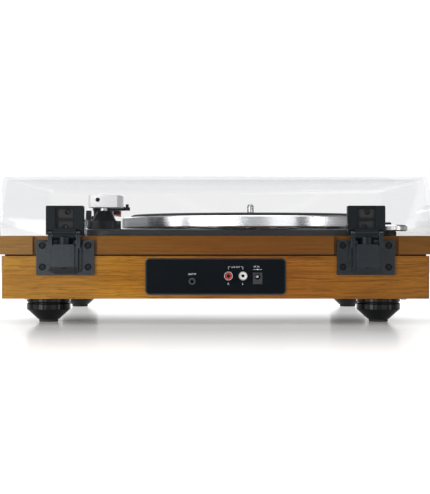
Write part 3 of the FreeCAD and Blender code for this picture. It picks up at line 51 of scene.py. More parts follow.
# ---------------------------------------------------------------- material building
class Look:
    """A node-based material with one Principled shader."""

    def __init__(self, name, **inputs):
        self.material = bpy.data.materials.new(name)
        self.material.use_nodes = True
        self.tree = self.material.node_tree
        self.shader = self.tree.nodes["Principled BSDF"]
        self.coords = None
        for socket, value in inputs.items():
            self.shader.inputs[socket.replace("_", " ")].default_value = value

    def add(self, kind, **settings):
        made = self.tree.nodes.new(kind)
        for key, value in settings.items():
            if key in made.inputs:
                made.inputs[key].default_value = value
            else:
                setattr(made, key, value)
        return made

    def link(self, source, target):
        self.tree.links.new(source, target)
        return target

    def place(self):
        """The row frame's own coordinates, in metres."""
        if self.coords is None:
            self.coords = self.add("ShaderNodeTexCoord").outputs["Object"]
        return self.coords

    def facing(self):
        """The X, Y and Z of the way a face looks."""
        split = self.add("ShaderNodeSeparateXYZ")
        self.link(self.add("ShaderNodeNewGeometry").outputs["Normal"], split.inputs[0])
        return split.outputs

    def math(self, operation, *terms):
        made = self.add("ShaderNodeMath", operation=operation)
        for socket, term in zip(made.inputs, terms):
            if isinstance(term, (int, float)):
                socket.default_value = term
            else:
                self.link(term, socket)
        return made.outputs[0]

    def stretch(self, vector, scale):
        made = self.add("ShaderNodeMapping")
        made.inputs["Scale"].default_value = scale
        self.link(vector, made.inputs["Vector"])
        return made.outputs["Vector"]

    def noise(self, vector, scale, detail=4.0, rough=0.55, warp=0.0):
        made = self.add("ShaderNodeTexNoise", Scale=scale, Detail=detail, Roughness=rough,
                        Distortion=warp)
        self.link(vector, made.inputs["Vector"])
        return made.outputs["Fac"]

    def ramp(self, value, *stops):
        """Colours or greys along a value, as (position, colour) pairs."""
        made = self.add("ShaderNodeValToRGB")
        band = made.color_ramp
        while len(band.elements) < len(stops):
            band.elements.new(0.5)
        for element, (position, colour) in zip(band.elements, stops):
            element.position = position
            grey = isinstance(colour, (int, float))
            element.color = (colour, colour, colour, 1) if grey else (*colour, 1)
        self.link(value, made.inputs["Fac"])
        return made.outputs["Color"]

    def blend(self, amount, first, second, mode="MIX"):
        made = self.add("ShaderNodeMix", data_type="RGBA", blend_type=mode)
        for socket, term in zip((made.inputs[0], made.inputs[6], made.inputs[7]),
                                (amount, first, second)):
            if isinstance(term, (int, float)):
                socket.default_value = term
            elif isinstance(term, tuple):
                socket.default_value = (*term, 1)
            else:
                self.link(term, socket)
        return made.outputs[2]

    def bump(self, height, distance, strength=1.0):
        made = self.add("ShaderNodeBump", Strength=strength, Distance=distance)
        self.link(height, made.inputs["Height"])
        self.link(made.outputs["Normal"], self.shader.inputs["Normal"])

    def colour(self, source):
        self.link(source, self.shader.inputs["Base Color"])

    def roughness(self, source):
        self.link(source, self.shader.inputs["Roughness"])


def wood(name, light, mid, dark, figure, pores, gloss, drift):
    """Veneer with level grain, along X or along Y on side faces; drift tones it along X, partly as
    real tone change and partly as painted light and shade.
    """
    look = Look(name, Coat_Weight=gloss, Coat_Roughness=0.12, Specular_IOR_Level=0.12)
    place = look.place()
    split = look.add("ShaderNodeSeparateXYZ")
    look.link(place, split.inputs[0])
    sideways = look.math("GREATER_THAN", look.math("ABSOLUTE", look.facing()["X"]), 0.7)
    swap = look.add("ShaderNodeCombineXYZ")
    look.link(split.outputs["Y"], swap.inputs[0])
    look.link(split.outputs["X"], swap.inputs[1])
    look.link(split.outputs["Z"], swap.inputs[2])
    choice = look.add("ShaderNodeMix", data_type="VECTOR")
    look.link(sideways, choice.inputs[0])
    look.link(place, choice.inputs[4])
    look.link(swap.outputs[0], choice.inputs[5])
    along = choice.outputs[1]
    # slow waves bend the grain lines up and down
    wave = look.noise(look.stretch(along, (26, 40, 40)), 1.0, detail=2.0)
    lift = look.add("ShaderNodeCombineXYZ")
    shift = look.math("MULTIPLY", look.math("SUBTRACT", wave, 0.5), 0.0035)
    look.link(shift, lift.inputs[1])
    look.link(shift, lift.inputs[2])
    bent = look.add("ShaderNodeVectorMath", operation="ADD")
    look.link(along, bent.inputs[0])
    look.link(lift.outputs[0], bent.inputs[1])
    line = bent.outputs[0]
    broad = look.noise(look.stretch(line, (3, 26, 26)), 1.0, detail=3.0, warp=0.4)
    streak = look.noise(look.stretch(line, (17, 820, 820)), 1.0, detail=4.0, rough=0.6)
    fine = look.noise(look.stretch(line, (90, 1900, 1900)), 1.0, detail=3.0)
    base = look.ramp(broad, (0.26, dark), (0.5, mid), (0.76, light))
    lines = look.ramp(streak, (0.38, 0.0), (0.60, 1.0))
    toned = look.blend(look.math("MULTIPLY", look.math("SUBTRACT", 1.0, lines), figure), base,
                       tuple(c * 0.42 for c in mid))
    hole = look.ramp(fine, (0.33, 1.0), (0.42, 0.0))
    shown = look.math("MULTIPLY", look.math("MULTIPLY", hole, pores),
                      look.ramp(streak, (0.35, 1.0), (0.6, 0.2)))
    grained = look.blend(shown, toned, tuple(c * 0.3 for c in dark))
    # painted light and shade: the drift ramp along X lightens the wood towards +X, where the side
    # lights fall, and darkens stretches of it, besides changing its tone
    reach = look.math("ADD", look.math("MULTIPLY", split.outputs["X"], 2.4), 0.5)
    look.colour(look.blend(1.0, grained, look.ramp(reach, *drift), "MULTIPLY"))
    look.roughness(look.ramp(streak, (0.3, 0.42), (0.7, 0.3)))
    look.bump(look.math("SUBTRACT", look.math("MULTIPLY", lines, 0.4), shown), 0.00012, 0.5)
    return look.material


def moulded(name, colour, rough, grain=0.00002, coat=0.0, spread=0.15, shine=0.5, edge=None,
            upright=False):
    """Moulded plastic or painted metal with a fine skin.

    The edge colour is a painted highlight: it lightens corners of faces that look to the rear, or
    their upright ones only, where light would catch them.
    """
    look = Look(name, Coat_Weight=coat, Coat_Roughness=0.04, Specular_IOR_Level=shine)
    place = look.place()
    drift = look.noise(place, 22.0, detail=2.0)
    skin = look.noise(place, 2600.0, detail=2.0)
    low = tuple(c * (1 - spread) for c in colour)
    high = tuple(min(1.0, c * (1 + spread)) for c in colour)
    body = look.ramp(drift, (0.3, low), (0.7, high))
    if edge is not None:
        # painted highlight: bevelled corners get the lighter edge colour
        facing = look.facing()
        turned_away = look.math("ABSOLUTE", facing["X"]) if upright else facing["Y"]
        corner = look.ramp(turned_away, (0.1, 0.0), (0.45, 1.0), (0.9, 1.0), (0.97, 0.0))
        body = look.blend(corner, body, edge)
    look.colour(body)
    look.roughness(look.ramp(skin, (0.3, rough * 0.88), (0.7, min(1.0, rough * 1.12))))
    look.bump(skin, grain, 0.6)
    return look.material


def turned(name, colour, rough, centre, pitch, depth=0.00002):
    """Metal turned on a lathe: fine rings round an upright axis, and rings down its side."""
    look = Look(name, Metallic=1.0, IOR=1.5)
    split = look.add("ShaderNodeSeparateXYZ")
    look.link(look.place(), split.inputs[0])
    across = look.math("SUBTRACT", split.outputs["X"], centre[0])
    along = look.math("SUBTRACT", split.outputs["Y"], centre[1])
    reach = look.math("SQRT", look.math("ADD", look.math("MULTIPLY", across, across),
                                        look.math("MULTIPLY", along, along)))
    spot = look.add("ShaderNodeCombineXYZ")
    look.link(reach, spot.inputs[0])
    look.link(split.outputs["Z"], spot.inputs[2])
    rings = look.noise(look.stretch(spot.outputs[0], (1 / pitch, 1, 1 / pitch)), 1.0, detail=3.0)
    look.colour(look.ramp(rings, (0.3, tuple(c * 0.9 for c in colour)), (0.7, colour)))
    look.roughness(look.ramp(rings, (0.25, rough * 0.75), (0.75, rough * 1.3)))
    look.bump(rings, depth, 0.5)
    return look.material


def brushed(name, colour, rough, direction, metallic=1.0):
    """Metal with short parallel scratches."""
    look = Look(name, Metallic=metallic)
    scratches = look.noise(look.stretch(look.place(), direction), 1.0, detail=3.0)
    look.colour(look.ramp(scratches, (0.3, tuple(c * 0.88 for c in colour)), (0.7, colour)))
    look.roughness(look.ramp(scratches, (0.3, rough * 0.8), (0.7, rough * 1.25)))
    look.bump(scratches, 0.00001, 0.5)
    return look.material


def rubber(name, colour, rough=0.72):
    look = Look(name, Specular_IOR_Level=0.35, Sheen_Weight=0.1, Sheen_Roughness=0.5)
    place = look.place()
    dust = look.noise(place, 45.0, detail=4.0)
    skin = look.noise(place, 1800.0, detail=2.0)
    look.colour(look.ramp(dust, (0.35, colour), (0.8, tuple(c * 1.7 + 0.004 for c in colour))))
    look.roughness(look.ramp(dust, (0.3, rough), (0.7, min(1.0, rough + 0.15))))
    look.bump(skin, 0.00003, 0.7)
    return look.material


def acrylic(name):
    """Clear sheet: see-through face on, with a grey tint and gloss that grow towards the edge."""
    look = Look(name)
    look.tree.nodes.remove(look.shader)
    output = look.tree.nodes["Material Output"]
    turn = look.add("ShaderNodeLayerWeight", Blend=0.5).outputs["Facing"]
    clear = look.add("ShaderNodeBsdfTransparent")
    haze = look.noise(look.place(), 40.0, detail=3.0)
    tint = look.ramp(turn, (0.0, (0.982, 0.982, 0.982)), (0.9, (0.955, 0.957, 0.96)),
                     (0.965, (0.94, 0.945, 0.95)), (1.0, (0.60, 0.61, 0.64)))
    look.link(tint, clear.inputs["Color"])
    gloss = look.add("ShaderNodeBsdfGlossy")
    gloss.inputs["Color"].default_value = (0.95, 0.95, 0.97, 1)
    look.link(look.ramp(haze, (0.3, 0.01), (0.8, 0.04)), gloss.inputs["Roughness"])
    share = look.math("ADD", look.math("MULTIPLY", look.math("POWER", turn, 4.0), 0.35), 0.025)
    mix = look.add("ShaderNodeMixShader")
    look.link(share, mix.inputs[0])
    look.link(clear.outputs[0], mix.inputs[1])
    look.link(gloss.outputs[0], mix.inputs[2])
    look.link(mix.outputs[0], output.inputs["Surface"])
    return look.material


def cloth(name, colour):
    """Plain woven cloth seen through the speaker slots."""
    look = Look(name, Sheen_Weight=0.3, Sheen_Roughness=0.4)
    weave = []
    for direction in ("X", "Z"):
        made = look.add("ShaderNodeTexWave", bands_direction=direction, Scale=700.0)
        look.link(look.place(), made.inputs["Vector"])
        weave.append(made.outputs["Fac"])
    both = look.math("MULTIPLY", weave[0], weave[1])
    look.colour(look.ramp(both, (0.1, tuple(c * 0.4 for c in colour)), (0.8, colour)))
    look.roughness(look.ramp(both, (0.2, 0.95), (0.8, 0.75)))
    look.bump(both, 0.0001, 0.8)
    return look.material


def board(name):
    """Green circuit board with copper tracks under the mask."""
    look = Look(name, Coat_Weight=0.4)
    made = look.add("ShaderNodeTexBrick", Scale=90.0)
    made.inputs["Color1"].default_value = (0.012, 0.10, 0.035, 1)
    made.inputs["Color2"].default_value = (0.016, 0.13, 0.045, 1)
    made.inputs["Mortar"].default_value = (0.03, 0.22, 0.08, 1)
    look.link(look.place(), made.inputs["Vector"])
    look.colour(made.outputs["Color"])
    look.roughness(look.ramp(look.noise(look.place(), 300.0), (0.3, 0.3), (0.7, 0.45)))
    return look.material


# ---------------------------------------------------------------- finishes
platter_low, platter_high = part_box("platter")
platter_mid = (platter_low + platter_high) / 2
disc_low, disc_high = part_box("single_adapter")
disc_mid = (disc_low + disc_high) / 2

# body veneer: its drift ramp is painted light, lighter towards +X, and painted shade, darker in
# the middle, besides some tone change
BODY_WOOD = wood("oak_veneer", (0.56, 0.270, 0.032), (0.41, 0.170, 0.017),
                 (0.30, 0.105, 0.011), 0.66, 0.8, 0.10,
                 ((0.0, (0.72, 0.68, 0.66)), (0.3, (0.70, 0.58, 0.55)), (0.5, (0.70, 0.55, 0.50)),
                  (0.72, (0.92, 0.90, 0.66)), (1.0, (0.90, 1.0, 0.88))))
# top board: its drift ramp adds a bluish painted highlight towards +X over a darker overall tone
DECK_WOOD = wood("lacquered_board", (0.33, 0.145, 0.024), (0.25, 0.098, 0.015),
                 (0.19, 0.068, 0.011), 0.30, 0.32, 0.14,
                 ((0.0, (0.55, 0.54, 0.42)), (0.5, (0.57, 0.50, 0.40)), (0.78, (0.62, 0.60, 0.46)),
                  (1.0, (0.82, 0.98, 1.0))))
# dark board; on the inner frame its darkness is also painted shade for the groove between the top
# board and the body
DARK_WOOD = moulded("dark_board_groove_shade", (0.030, 0.016, 0.009), 0.7, 0.00008, spread=0.3)
SATIN_BLACK = moulded("satin_black", (0.006, 0.009, 0.011), 0.32, 0.00003, shine=0.16)
# hinge brackets: the edge colour is a painted highlight on the upright bevels of the ribs
HINGE_BLACK = moulded("hinge_black", (0.006, 0.010, 0.014), 0.25, 0.00003, shine=0.4,
                      edge=(0.120, 0.155, 0.190), upright=True)
# socket panel: the edge colour is a painted highlight on the bevels of its rear face
PANEL_BLACK = moulded("panel_black", (0.003, 0.005, 0.007), 0.34, 0.00004, shine=0.07,
                      edge=(0.028, 0.050, 0.064))
GLOSS_BLACK = moulded("gloss_black", (0.002, 0.003, 0.003), 0.08, 0.000002, shine=0.2)
DECK_BLACK = moulded("deck_black", (0.032, 0.034, 0.036), 0.16, 0.000004, shine=0.5)
RING_GREY = moulded("ring_grey", (0.030, 0.034, 0.038), 0.35)
GREY_PLASTIC = moulded("grey_plastic", (0.034, 0.037, 0.040), 0.42, shine=0.3)
RED_PLASTIC = moulded("red_plastic", (0.42, 0.010, 0.012), 0.28, coat=0.4)
STYLUS_RED = moulded("stylus_red", (0.62, 0.030, 0.012), 0.25, coat=0.5)
WHITE_PLASTIC = moulded("white_plastic", (0.78, 0.78, 0.75), 0.3, coat=0.3, spread=0.04)
SILVER_PAINT = brushed("silver_paint", (0.96, 0.97, 1.0), 0.42, (60, 60, 900), 0.05)
STEEL = brushed("bright_steel", (0.62, 0.63, 0.65), 0.26, (200, 200, 1500))
BLACK_STEEL = moulded("black_oxide", (0.004, 0.005, 0.006), 0.3, shine=0.25)
NICKEL = brushed("nickel", (0.62, 0.62, 0.61), 0.2, (800, 100, 800))
BRASS = brushed("brass", (0.62, 0.42, 0.14), 0.25, (200, 200, 1500))
PLATTER_METAL = turned("turned_platter", (0.93, 0.94, 0.96), 0.25, platter_mid, 0.0006)
ADAPTER_METAL = turned("turned_adapter", (0.74, 0.75, 0.77), 0.22, disc_mid, 0.0004)
TUBE_METAL = brushed("polished_tube", (0.82, 0.83, 0.85), 0.14, (900, 30, 900))
KNOB_METAL = turned("turned_knob", (0.70, 0.71, 0.73), 0.24, (0, 0), 0.0004)
MAT_RUBBER = rubber("mat_rubber", (0.011, 0.011, 0.012), 0.68)
PAD_RUBBER = rubber("pad_rubber", (0.020, 0.020, 0.020))
CLEAR = acrylic("clear_acrylic")
CONE_CLOTH = cloth("speaker_cloth", (0.035, 0.034, 0.033))
BOARD = board("circuit_board")
PRINT = moulded("white_print", (0.72, 0.73, 0.74), 0.6, spread=0.05)

FINISHES = {
    "plinth_sides": BODY_WOOD, "plinth_back": BODY_WOOD, "plinth_front": BODY_WOOD,
    "top_board": DECK_WOOD, "inner_frame": DARK_WOOD, "bottom_board": DARK_WOOD,
    "feet": GLOSS_BLACK, "mechanism_panel": DECK_BLACK, "rubber_pads": PAD_RUBBER,
    "record_mat": MAT_RUBBER, "drive_belt": PAD_RUBBER, "dust_cover": CLEAR,
    "hinge_brackets": HINGE_BLACK, "hinge_arms": SATIN_BLACK, "hinge_shoes": SATIN_BLACK,
    "jack_panel": PANEL_BLACK, "aux_socket": RING_GREY, "power_socket": GREY_PLASTIC,
    "phono_insulator_red": RED_PLASTIC, "phono_insulator_white": WHITE_PLASTIC,
    "jack_contacts": NICKEL, "black_screws": BLACK_STEEL, "speaker_grilles": BLACK_STEEL,
    "speaker_cloths": CONE_CLOTH, "speakers": STEEL, "hinge_springs": STEEL,
    "steel_screws": STEEL, "axles": STEEL, "spindle": STEEL, "spindle_clip": STEEL,
    "spindle_bearing": STEEL, "drive_motor": STEEL, "yaw_shaft": STEEL, "pivot_pins": STEEL,
    "platter_bush": BRASS, "motor_pulley": SATIN_BLACK, "thrust_washer": WHITE_PLASTIC,
    "platter": PLATTER_METAL, "single_adapter": ADAPTER_METAL, "arm_tube": TUBE_METAL,
    "volume_knob": KNOB_METAL, "source_knob": KNOB_METAL,
    "pivot_housing": SILVER_PAINT, "lift_bar": SATIN_BLACK, "cue_lever": SATIN_BLACK,
    "lift_stand": SATIN_BLACK, "arm_rest": SATIN_BLACK, "adapter_post": SATIN_BLACK,
    "tonearm_base": SATIN_BLACK, "arm_carrier": SATIN_BLACK, "headshell": SATIN_BLACK,
    "cartridge": GLOSS_BLACK, "stylus": STYLUS_RED, "speed_slider": SATIN_BLACK,
    "auto_stop_slider": SATIN_BLACK, "switch_bodies": SATIN_BLACK,
    "panel_controls": SATIN_BLACK, "circuit_boards": BOARD, "board_parts": PANEL_BLACK,
}
ROUNDED = {
    "plinth_sides": 0.5, "plinth_back": 0.5, "plinth_front": 0.5, "top_board": 1.3,
    "hinge_brackets": 0.8, "hinge_arms": 0.4, "pivot_housing": 0.4, "cue_lever": 0.5,
    "lift_stand": 0.3, "arm_rest": 0.5, "headshell": 0.35, "cartridge": 0.4, "stylus": 0.3,
    "speed_slider": 0.3, "auto_stop_slider": 0.3, "feet": 0.4, "power_socket": 0.3,
    "bottom_board": 0.5, "single_adapter": 0.25, "tonearm_base": 0.5, "lift_bar": 0.4,
    "platter": 0.2, "jack_panel": 0.2, "aux_socket": 0.2, "jack_contacts": 0.12,
    "phono_insulator_red": 0.15, "phono_insulator_white": 0.15, "dust_cover": 0.5,
}


def finish_node(name, material, radius):
    """Give a CAD node its finish and, by modifiers only, softly rounded edges."""
    piece = nodes[name]
    if not piece.material_slots:
        piece.data.materials.append(material)
    for place in piece.material_slots:
        place.material = material
    if radius is None:
        return
    attribute = piece.data.attributes.get("custom_normal")
    if attribute is not None:
        piece.data.attributes.remove(attribute)
    piece.data.shade_smooth()
    weld = piece.modifiers.new("weld", "WELD")
    weld.merge_threshold = WELD_DISTANCE
    bevel = piece.modifiers.new("soft_edges", "BEVEL")
    bevel.width = radius * MM
    bevel.segments = 3
    bevel.limit_method = "ANGLE"
    bevel.angle_limit = BEVEL_ANGLE
    bevel.harden_normals = True
    bevel.use_clamp_overlap = True


for name in nodes:
    finish_node(name, FINISHES[name], ROUNDED.get(name))


# ---------------------------------------------------------------- detail pieces
def own(name, mesh, material, body):
    """A detail piece that moves with one body of the record player."""
    thing = bpy.data.objects.new(name, mesh)
    scene.collection.objects.link(thing)
    mesh.materials.append(material)
    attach(thing, body)
    return thing


def lathe(name, profile, spot, direction, material, body, steps=40):
    """A turned piece: (radius, reach) pairs swept round a direction from a spot."""
    turn = Vector(direction).to_track_quat("Z", "Y").to_matrix()
    shape = bmesh.new()
    rings = []
    for radius, reach in profile:
        ring = []
        for step in range(steps if radius > 0 else 1):
            angle = 2 * math.pi * step / steps
            point = Vector((radius * math.cos(angle), radius * math.sin(angle), reach)) * MM
            ring.append(shape.verts.new(turn @ point + Vector(spot)))
        rings.append(ring)
    for lower, upper in zip(rings, rings[1:]):
        for step in range(steps):
            ahead = (step + 1) % steps
            corners = [lower[step % len(lower)], lower[ahead % len(lower)],
                       upper[ahead % len(upper)], upper[step % len(upper)]]
            shape.faces.new(list(dict.fromkeys(corners)))
    bmesh.ops.recalc_face_normals(shape, faces=shape.faces)
    mesh = bpy.data.meshes.new(name)
    shape.to_mesh(mesh)
    shape.free()
    mesh.shade_smooth()
    crisp = own(name, mesh, material, body).modifiers.new("crisp", "BEVEL")
    crisp.width = 0.08 * MM
    crisp.segments = 2
    crisp.limit_method = "ANGLE"
    crisp.harden_normals = True


def lettering(name, words, tall, spot, turn, material, body, narrow=1.0):
    """Small printed words: tall is the height of a capital in mm, narrow squeezes them."""
    curve = bpy.data.curves.new(name, "FONT")
    curve.body = words
    curve.size = tall * MM / CAP_SHARE
    curve.align_x = "CENTER"
    curve.align_y = "CENTER"
    curve.extrude = PRINT_THICK
    curve.space_character = 1.06
    source = bpy.data.objects.new(name, curve)
    mesh = bpy.data.meshes.new_from_object(source)
    bpy.data.objects.remove(source)
    bpy.data.curves.remove(curve)
    squeeze = Matrix.Diagonal((narrow, 1, 1, 1))
    mesh.transform(Matrix.Translation(spot) @ turn.to_4x4() @ squeeze)
    mesh.materials.clear()
    own(name, mesh, material, body)


def stroke(name, points, wide, normal, material, body):
    """A thin printed line through several points on a flat face."""
    shape = bmesh.new()
    up = Vector(normal).normalized()
    for start, end in zip(points, points[1:]):
        start = Vector(start)
        end = Vector(end)
        along = (end - start).normalized() * wide / 2
        side = along.cross(up).normalized() * wide / 2
        corners = [start - along - side, end + along - side, end + along + side,
                   start - along + side]
        low = [shape.verts.new(corner) for corner in corners]
        high = [shape.verts.new(corner + up * PRINT_THICK) for corner in corners]
        shape.faces.new(high)
        for step in range(4):
            ahead = (step + 1) % 4
            shape.faces.new((low[step], low[ahead], high[ahead], high[step]))
    bmesh.ops.recalc_face_normals(shape, faces=shape.faces)
    mesh = bpy.data.meshes.new(name)
    shape.to_mesh(mesh)
    shape.free()
    own(name, mesh, material, body)


FACING_REAR = Matrix(((-1, 0, 0), (0, 0, 1), (0, 1, 0)))
FACING_UP = Matrix.Identity(3)


def middle_of(name):
    low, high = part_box(name)
    return (low + high) / 2


def socket_labels():
    """White printing on the socket panel, with a bracket over the two line sockets."""
    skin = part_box("jack_panel")[1].y + PRINT_LIFT
    red = middle_of("phono_insulator_red")
    white = middle_of("phono_insulator_white")
    power = middle_of("power_socket")
    aux = middle_of("aux_socket")

    def label(name, words, tall, x, z, narrow=1.0):
        lettering(name, words, tall, (x, skin, z), FACING_REAR, PRINT, "cabinet", narrow)

    def line(name, spots, wide=0.00025):
        points = [(x, skin, z) for x, z in spots]
        stroke(name, points, wide, (0, 1, 0), PRINT, "cabinet")

    label("label_aux", "AUX IN", 1.6, aux.x, aux.z + 0.0069, 0.92)
    label("label_line", "LINE OUT", 1.45, (red.x + white.x) / 2, red.z + 0.0081, 0.85)
    label("label_r", "R", 1.8, red.x, red.z - 0.0079)
    label("label_l", "L", 1.8, white.x, white.z - 0.0079)
    label("label_power", "DC IN", 1.45, power.x + 0.001, power.z + 0.0112, 0.92)
    top = red.z + 0.0086
    drop = red.z + 0.0062
    for name, x, inward in (("bracket_r", red.x, -0.0018), ("bracket_l", white.x, 0.0018)):
        line(name, ((x, drop), (x, top), (x + inward, top)), 0.00028)
    mark = power.z + 0.0085
    line("polarity_line", ((power.x - 0.0030, mark), (power.x + 0.0030, mark)))
    lathe("polarity_dot", ((0, 0), (0.55, 0), (0.55, 0.04), (0, 0.04)),
          (power.x, skin, mark), (0, 1, 0), PRINT, "cabinet", 20)
    for name, offset in (("polarity_plus", 0.0036), ("polarity_minus", -0.0036)):
        line(name, ((power.x + offset - 0.0005, mark), (power.x + offset + 0.0005, mark)))


def deck_labels():
    """Speeds and switch settings printed on the mechanism panel."""
    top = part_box("mechanism_panel")[1].z + PRINT_LIFT
    speed = middle_of("speed_slider")
    stop = middle_of("auto_stop_slider")
    for name, words, x, y in (("speed_33", "33", speed.x, speed.y - 0.0085),
                              ("speed_45", "45", speed.x, speed.y + 0.0175),
                              ("stop_off", "OFF", stop.x, stop.y - 0.0085),
                              ("stop_on", "ON", stop.x, stop.y + 0.0175)):
        lettering(name, words, 2.6, (x, y, top), FACING_UP, PRINT, "cabinet")
    lettering("stop_name", "AUTO STOP", 2.0, (stop.x - 0.014, stop.y + 0.0045, top),
              FACING_UP, PRINT, "cabinet")


HINGES = (("left", -1), ("right", 1))


def clamp_screws():
    """Small screws in the windows of the two hinge arms, which clamp them on the cover."""
    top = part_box("hinge_arms")[1].z
    hinge_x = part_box("hinge_brackets")[1].x - HINGE_INSET
    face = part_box("dust_cover")[1].y + 0.0004
    head = ((0, 0.2), (0.9, 0.2), (1.0, 1.0), (2.1, 1.2), (2.5, 0.8), (2.6, 0), (0, 0))
    for side, hand in HINGES:
        for label, drift, drop in (("low", 0.0008, 0.0202), ("high", -0.0016, 0.0060)):
            lathe(f"clamp_screw_{label}_{side}", head,
                  (hinge_x * hand + drift, face, top - drop), (0, 1, 0), BLACK_STEEL, "lid", 28)


def grip_liners():
    """Thin dark liners between the cover and the two hinge arms, seen through their windows."""
    wide, thick, tall = 0.0172, 0.0002, 0.0235
    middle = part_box("hinge_arms")[1].z - 0.0135
    hinge_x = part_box("hinge_brackets")[1].x - HINGE_INSET
    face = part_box("dust_cover")[1].y + 0.00005
    for side, hand in HINGES:
        shape = bmesh.new()
        bmesh.ops.create_cube(shape, size=1.0)
        size = Matrix.Diagonal((wide, thick, tall, 1))
        spot = Vector((hinge_x * hand, face + thick / 2, middle))
        bmesh.ops.transform(shape, matrix=Matrix.Translation(spot) @ size, verts=shape.verts)
        mesh = bpy.data.meshes.new("grip_liner")
        shape.to_mesh(mesh)
        shape.free()
        own(f"grip_liner_{side}", mesh, PAD_RUBBER, "lid")


def arm_details():
    """A dark socket in the tail of the arm's housing."""
    low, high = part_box("pivot_housing")
    tail = (low.x + 0.0227, high.y, (low.z + high.z) / 2 + 0.0008)
    socket = ((0, -3.5), (0.9, -3.5), (1.1, -1.6), (1.7, -1.2), (2.05, -1.2), (2.1, -3.9),
              (0, -3.9))
    lathe("tail_socket", socket, tail, (0, 1, 0), SATIN_BLACK, "arm_mount", 28)


socket_labels()
deck_labels()
clamp_screws()
grip_liners()
arm_details()

# ---------------------------------------------------------------- lights, floor, camera
FLOOR_REACH = 5.0
SCREEN_Y = -1.6
SCREEN_HALF = 1.0
SCREEN_TOP = 1.2
SCREEN_GLOW = 2.4
WORLD_STRENGTH = 0.20
CAMERA_GAP = 1.1
CAMERA_HEIGHT = 79.9 * MM
LENS = 83.5
LENS_SHIFT = (-0.0012, -0.0121)
# name, place, target, size, watts, colour
LIGHTS = (
    ("top_box", (0.1, 0.15, 1.3), (0, 0, 0), (1.8, 1.3), 13, (1, 1, 1)),
    ("left_box", (0.95, 1.30, 0.4), (0.0, 0.17, 0.06), (0.55, 0.75), 10, (1.0, 0.98, 0.96)),
    ("side_box", (1.55, 0.75, 0.5), (0.0, 0.17, 0.06), (0.8, 0.9), 5.5, (1, 1, 1)),
    ("near_box", (0.46, 1.75, 0.07), (0.12, 0.17, 0.05), (0.32, 0.13), 0.55,
     (0.88, 0.95, 1.0)),
    ("right_box", (-1.45, 0.95, 0.4), (-0.12, 0.17, 0.05), (0.35, 0.7), 3.2, (1, 1, 1)),
    ("far_right_box", (-0.9, 1.7, 0.4), (-0.1, 0.0, 0.1), (0.9, 0.6), 2.8, (1, 1, 1)),
)


def area_light(name, spot, target, size, power, colour):
    """A softbox at a spot that faces a target; only its light shows, never the box itself."""
    lamp = bpy.data.lights.new(name, "AREA")
    lamp.shape = "RECTANGLE"
    lamp.size, lamp.size_y = size
    lamp.energy = power
    lamp.color = colour
    thing = bpy.data.objects.new(name, lamp)
    scene.collection.objects.link(thing)
    thing.location = spot
    thing.rotation_euler = (Vector(target) - Vector(spot)).to_track_quat("-Z", "Y").to_euler()
    thing.visible_camera = False


def stage_sheet(name, corners, material):
    """One flat sheet of the studio."""
    mesh = bpy.data.meshes.new(name)
    shape = bmesh.new()
    shape.faces.new([shape.verts.new(corner) for corner in corners])
    shape.to_mesh(mesh)
    shape.free()
    sheet = bpy.data.objects.new(name, mesh)
    scene.collection.objects.link(sheet)
    mesh.materials.append(material)


def build_floor():
    """White glossy floor whose glow is painted light that washes out its shadows, least under the
    back of the record player, where the dip is painted shade.
    """
    floor = Look("white_floor", Specular_IOR_Level=0.5)
    floor.shader.inputs["Emission Color"].default_value = (1, 1, 1, 1)
    floor.colour(floor.ramp(floor.noise(floor.place(), 3.0), (0.3, 0.80), (0.7, 0.82)))
    floor.roughness(floor.ramp(floor.noise(floor.place(), 9.0), (0.3, 0.15), (0.7, 0.17)))
    sweep = floor.add("ShaderNodeSeparateXYZ")
    floor.link(floor.place(), sweep.inputs[0])
    # painted light and shade: floor glow along Y, lowest under and just behind the back as a
    # painted shadow
    painted_glow_and_shade = floor.ramp(sweep.outputs["Y"], (0.0, 0.50), (0.12, 0.10), (0.24, 0.10), (0.46, 0.60))
    floor.link(painted_glow_and_shade, floor.shader.inputs["Emission Strength"])
    reach = FLOOR_REACH
    stage_sheet("floor", ((-reach, -reach, 0), (reach, -reach, 0), (reach, reach, 0),
                          (-reach, reach, 0)), floor.material)


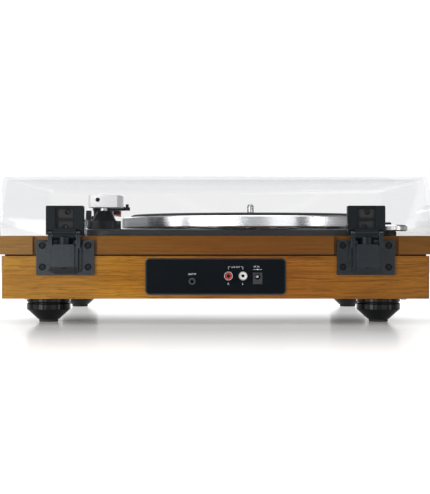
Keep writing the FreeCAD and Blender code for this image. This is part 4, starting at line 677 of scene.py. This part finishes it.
def build_backdrop():
    """White glowing sheet beyond the front side, see-through from its own far side."""
    screen = Look("white_screen", Roughness=1.0)
    screen.shader.inputs["Base Color"].default_value = (0, 0, 0, 1)
    screen.shader.inputs["Specular IOR Level"].default_value = 0
    screen.shader.inputs["Emission Color"].default_value = (1, 1, 1, 1)
    level = screen.add("ShaderNodeSeparateXYZ")
    screen.link(screen.place(), level.inputs[0])
    glow = screen.ramp(level.outputs["Z"], (0.26, 0.42), (0.42, 1.0))
    screen.link(screen.math("MULTIPLY", glow, SCREEN_GLOW),
                screen.shader.inputs["Emission Strength"])
    side = screen.add("ShaderNodeMixShader")
    screen.link(screen.add("ShaderNodeNewGeometry").outputs["Backfacing"], side.inputs[0])
    screen.link(screen.shader.outputs[0], side.inputs[1])
    screen.link(screen.add("ShaderNodeBsdfTransparent").outputs[0], side.inputs[2])
    screen.link(side.outputs[0], screen.tree.nodes["Material Output"].inputs["Surface"])
    half, top = SCREEN_HALF, SCREEN_TOP
    stage_sheet("backdrop", ((half, SCREEN_Y, 0), (-half, SCREEN_Y, 0), (-half, SCREEN_Y, top),
                             (half, SCREEN_Y, top)), screen.material)


def build_light():
    """A dim pale world and the softboxes."""
    world = bpy.data.worlds.new("studio")
    world.use_nodes = True
    sky = world.node_tree.nodes["Background"]
    sky.inputs["Color"].default_value = (0.95, 0.97, 1, 1)
    sky.inputs["Strength"].default_value = WORLD_STRENGTH
    scene.world = world
    for light in LIGHTS:
        area_light(*light)


def build_camera():
    """Level camera square on to the back, a little over a metre away."""
    lens = bpy.data.cameras.new("camera")
    lens.sensor_width = 36
    lens.lens = LENS
    lens.shift_x, lens.shift_y = LENS_SHIFT
    lens.clip_end = 50
    camera = bpy.data.objects.new("camera", lens)
    scene.collection.objects.link(camera)
    rear_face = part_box("plinth_back")[1].y
    camera.location = (0, rear_face + CAMERA_GAP, CAMERA_HEIGHT)
    camera.rotation_euler = (math.radians(90), 0, math.radians(180))
    scene.camera = camera


build_floor()
build_backdrop()
build_light()
build_camera()
scene.view_settings.view_transform = "Standard"
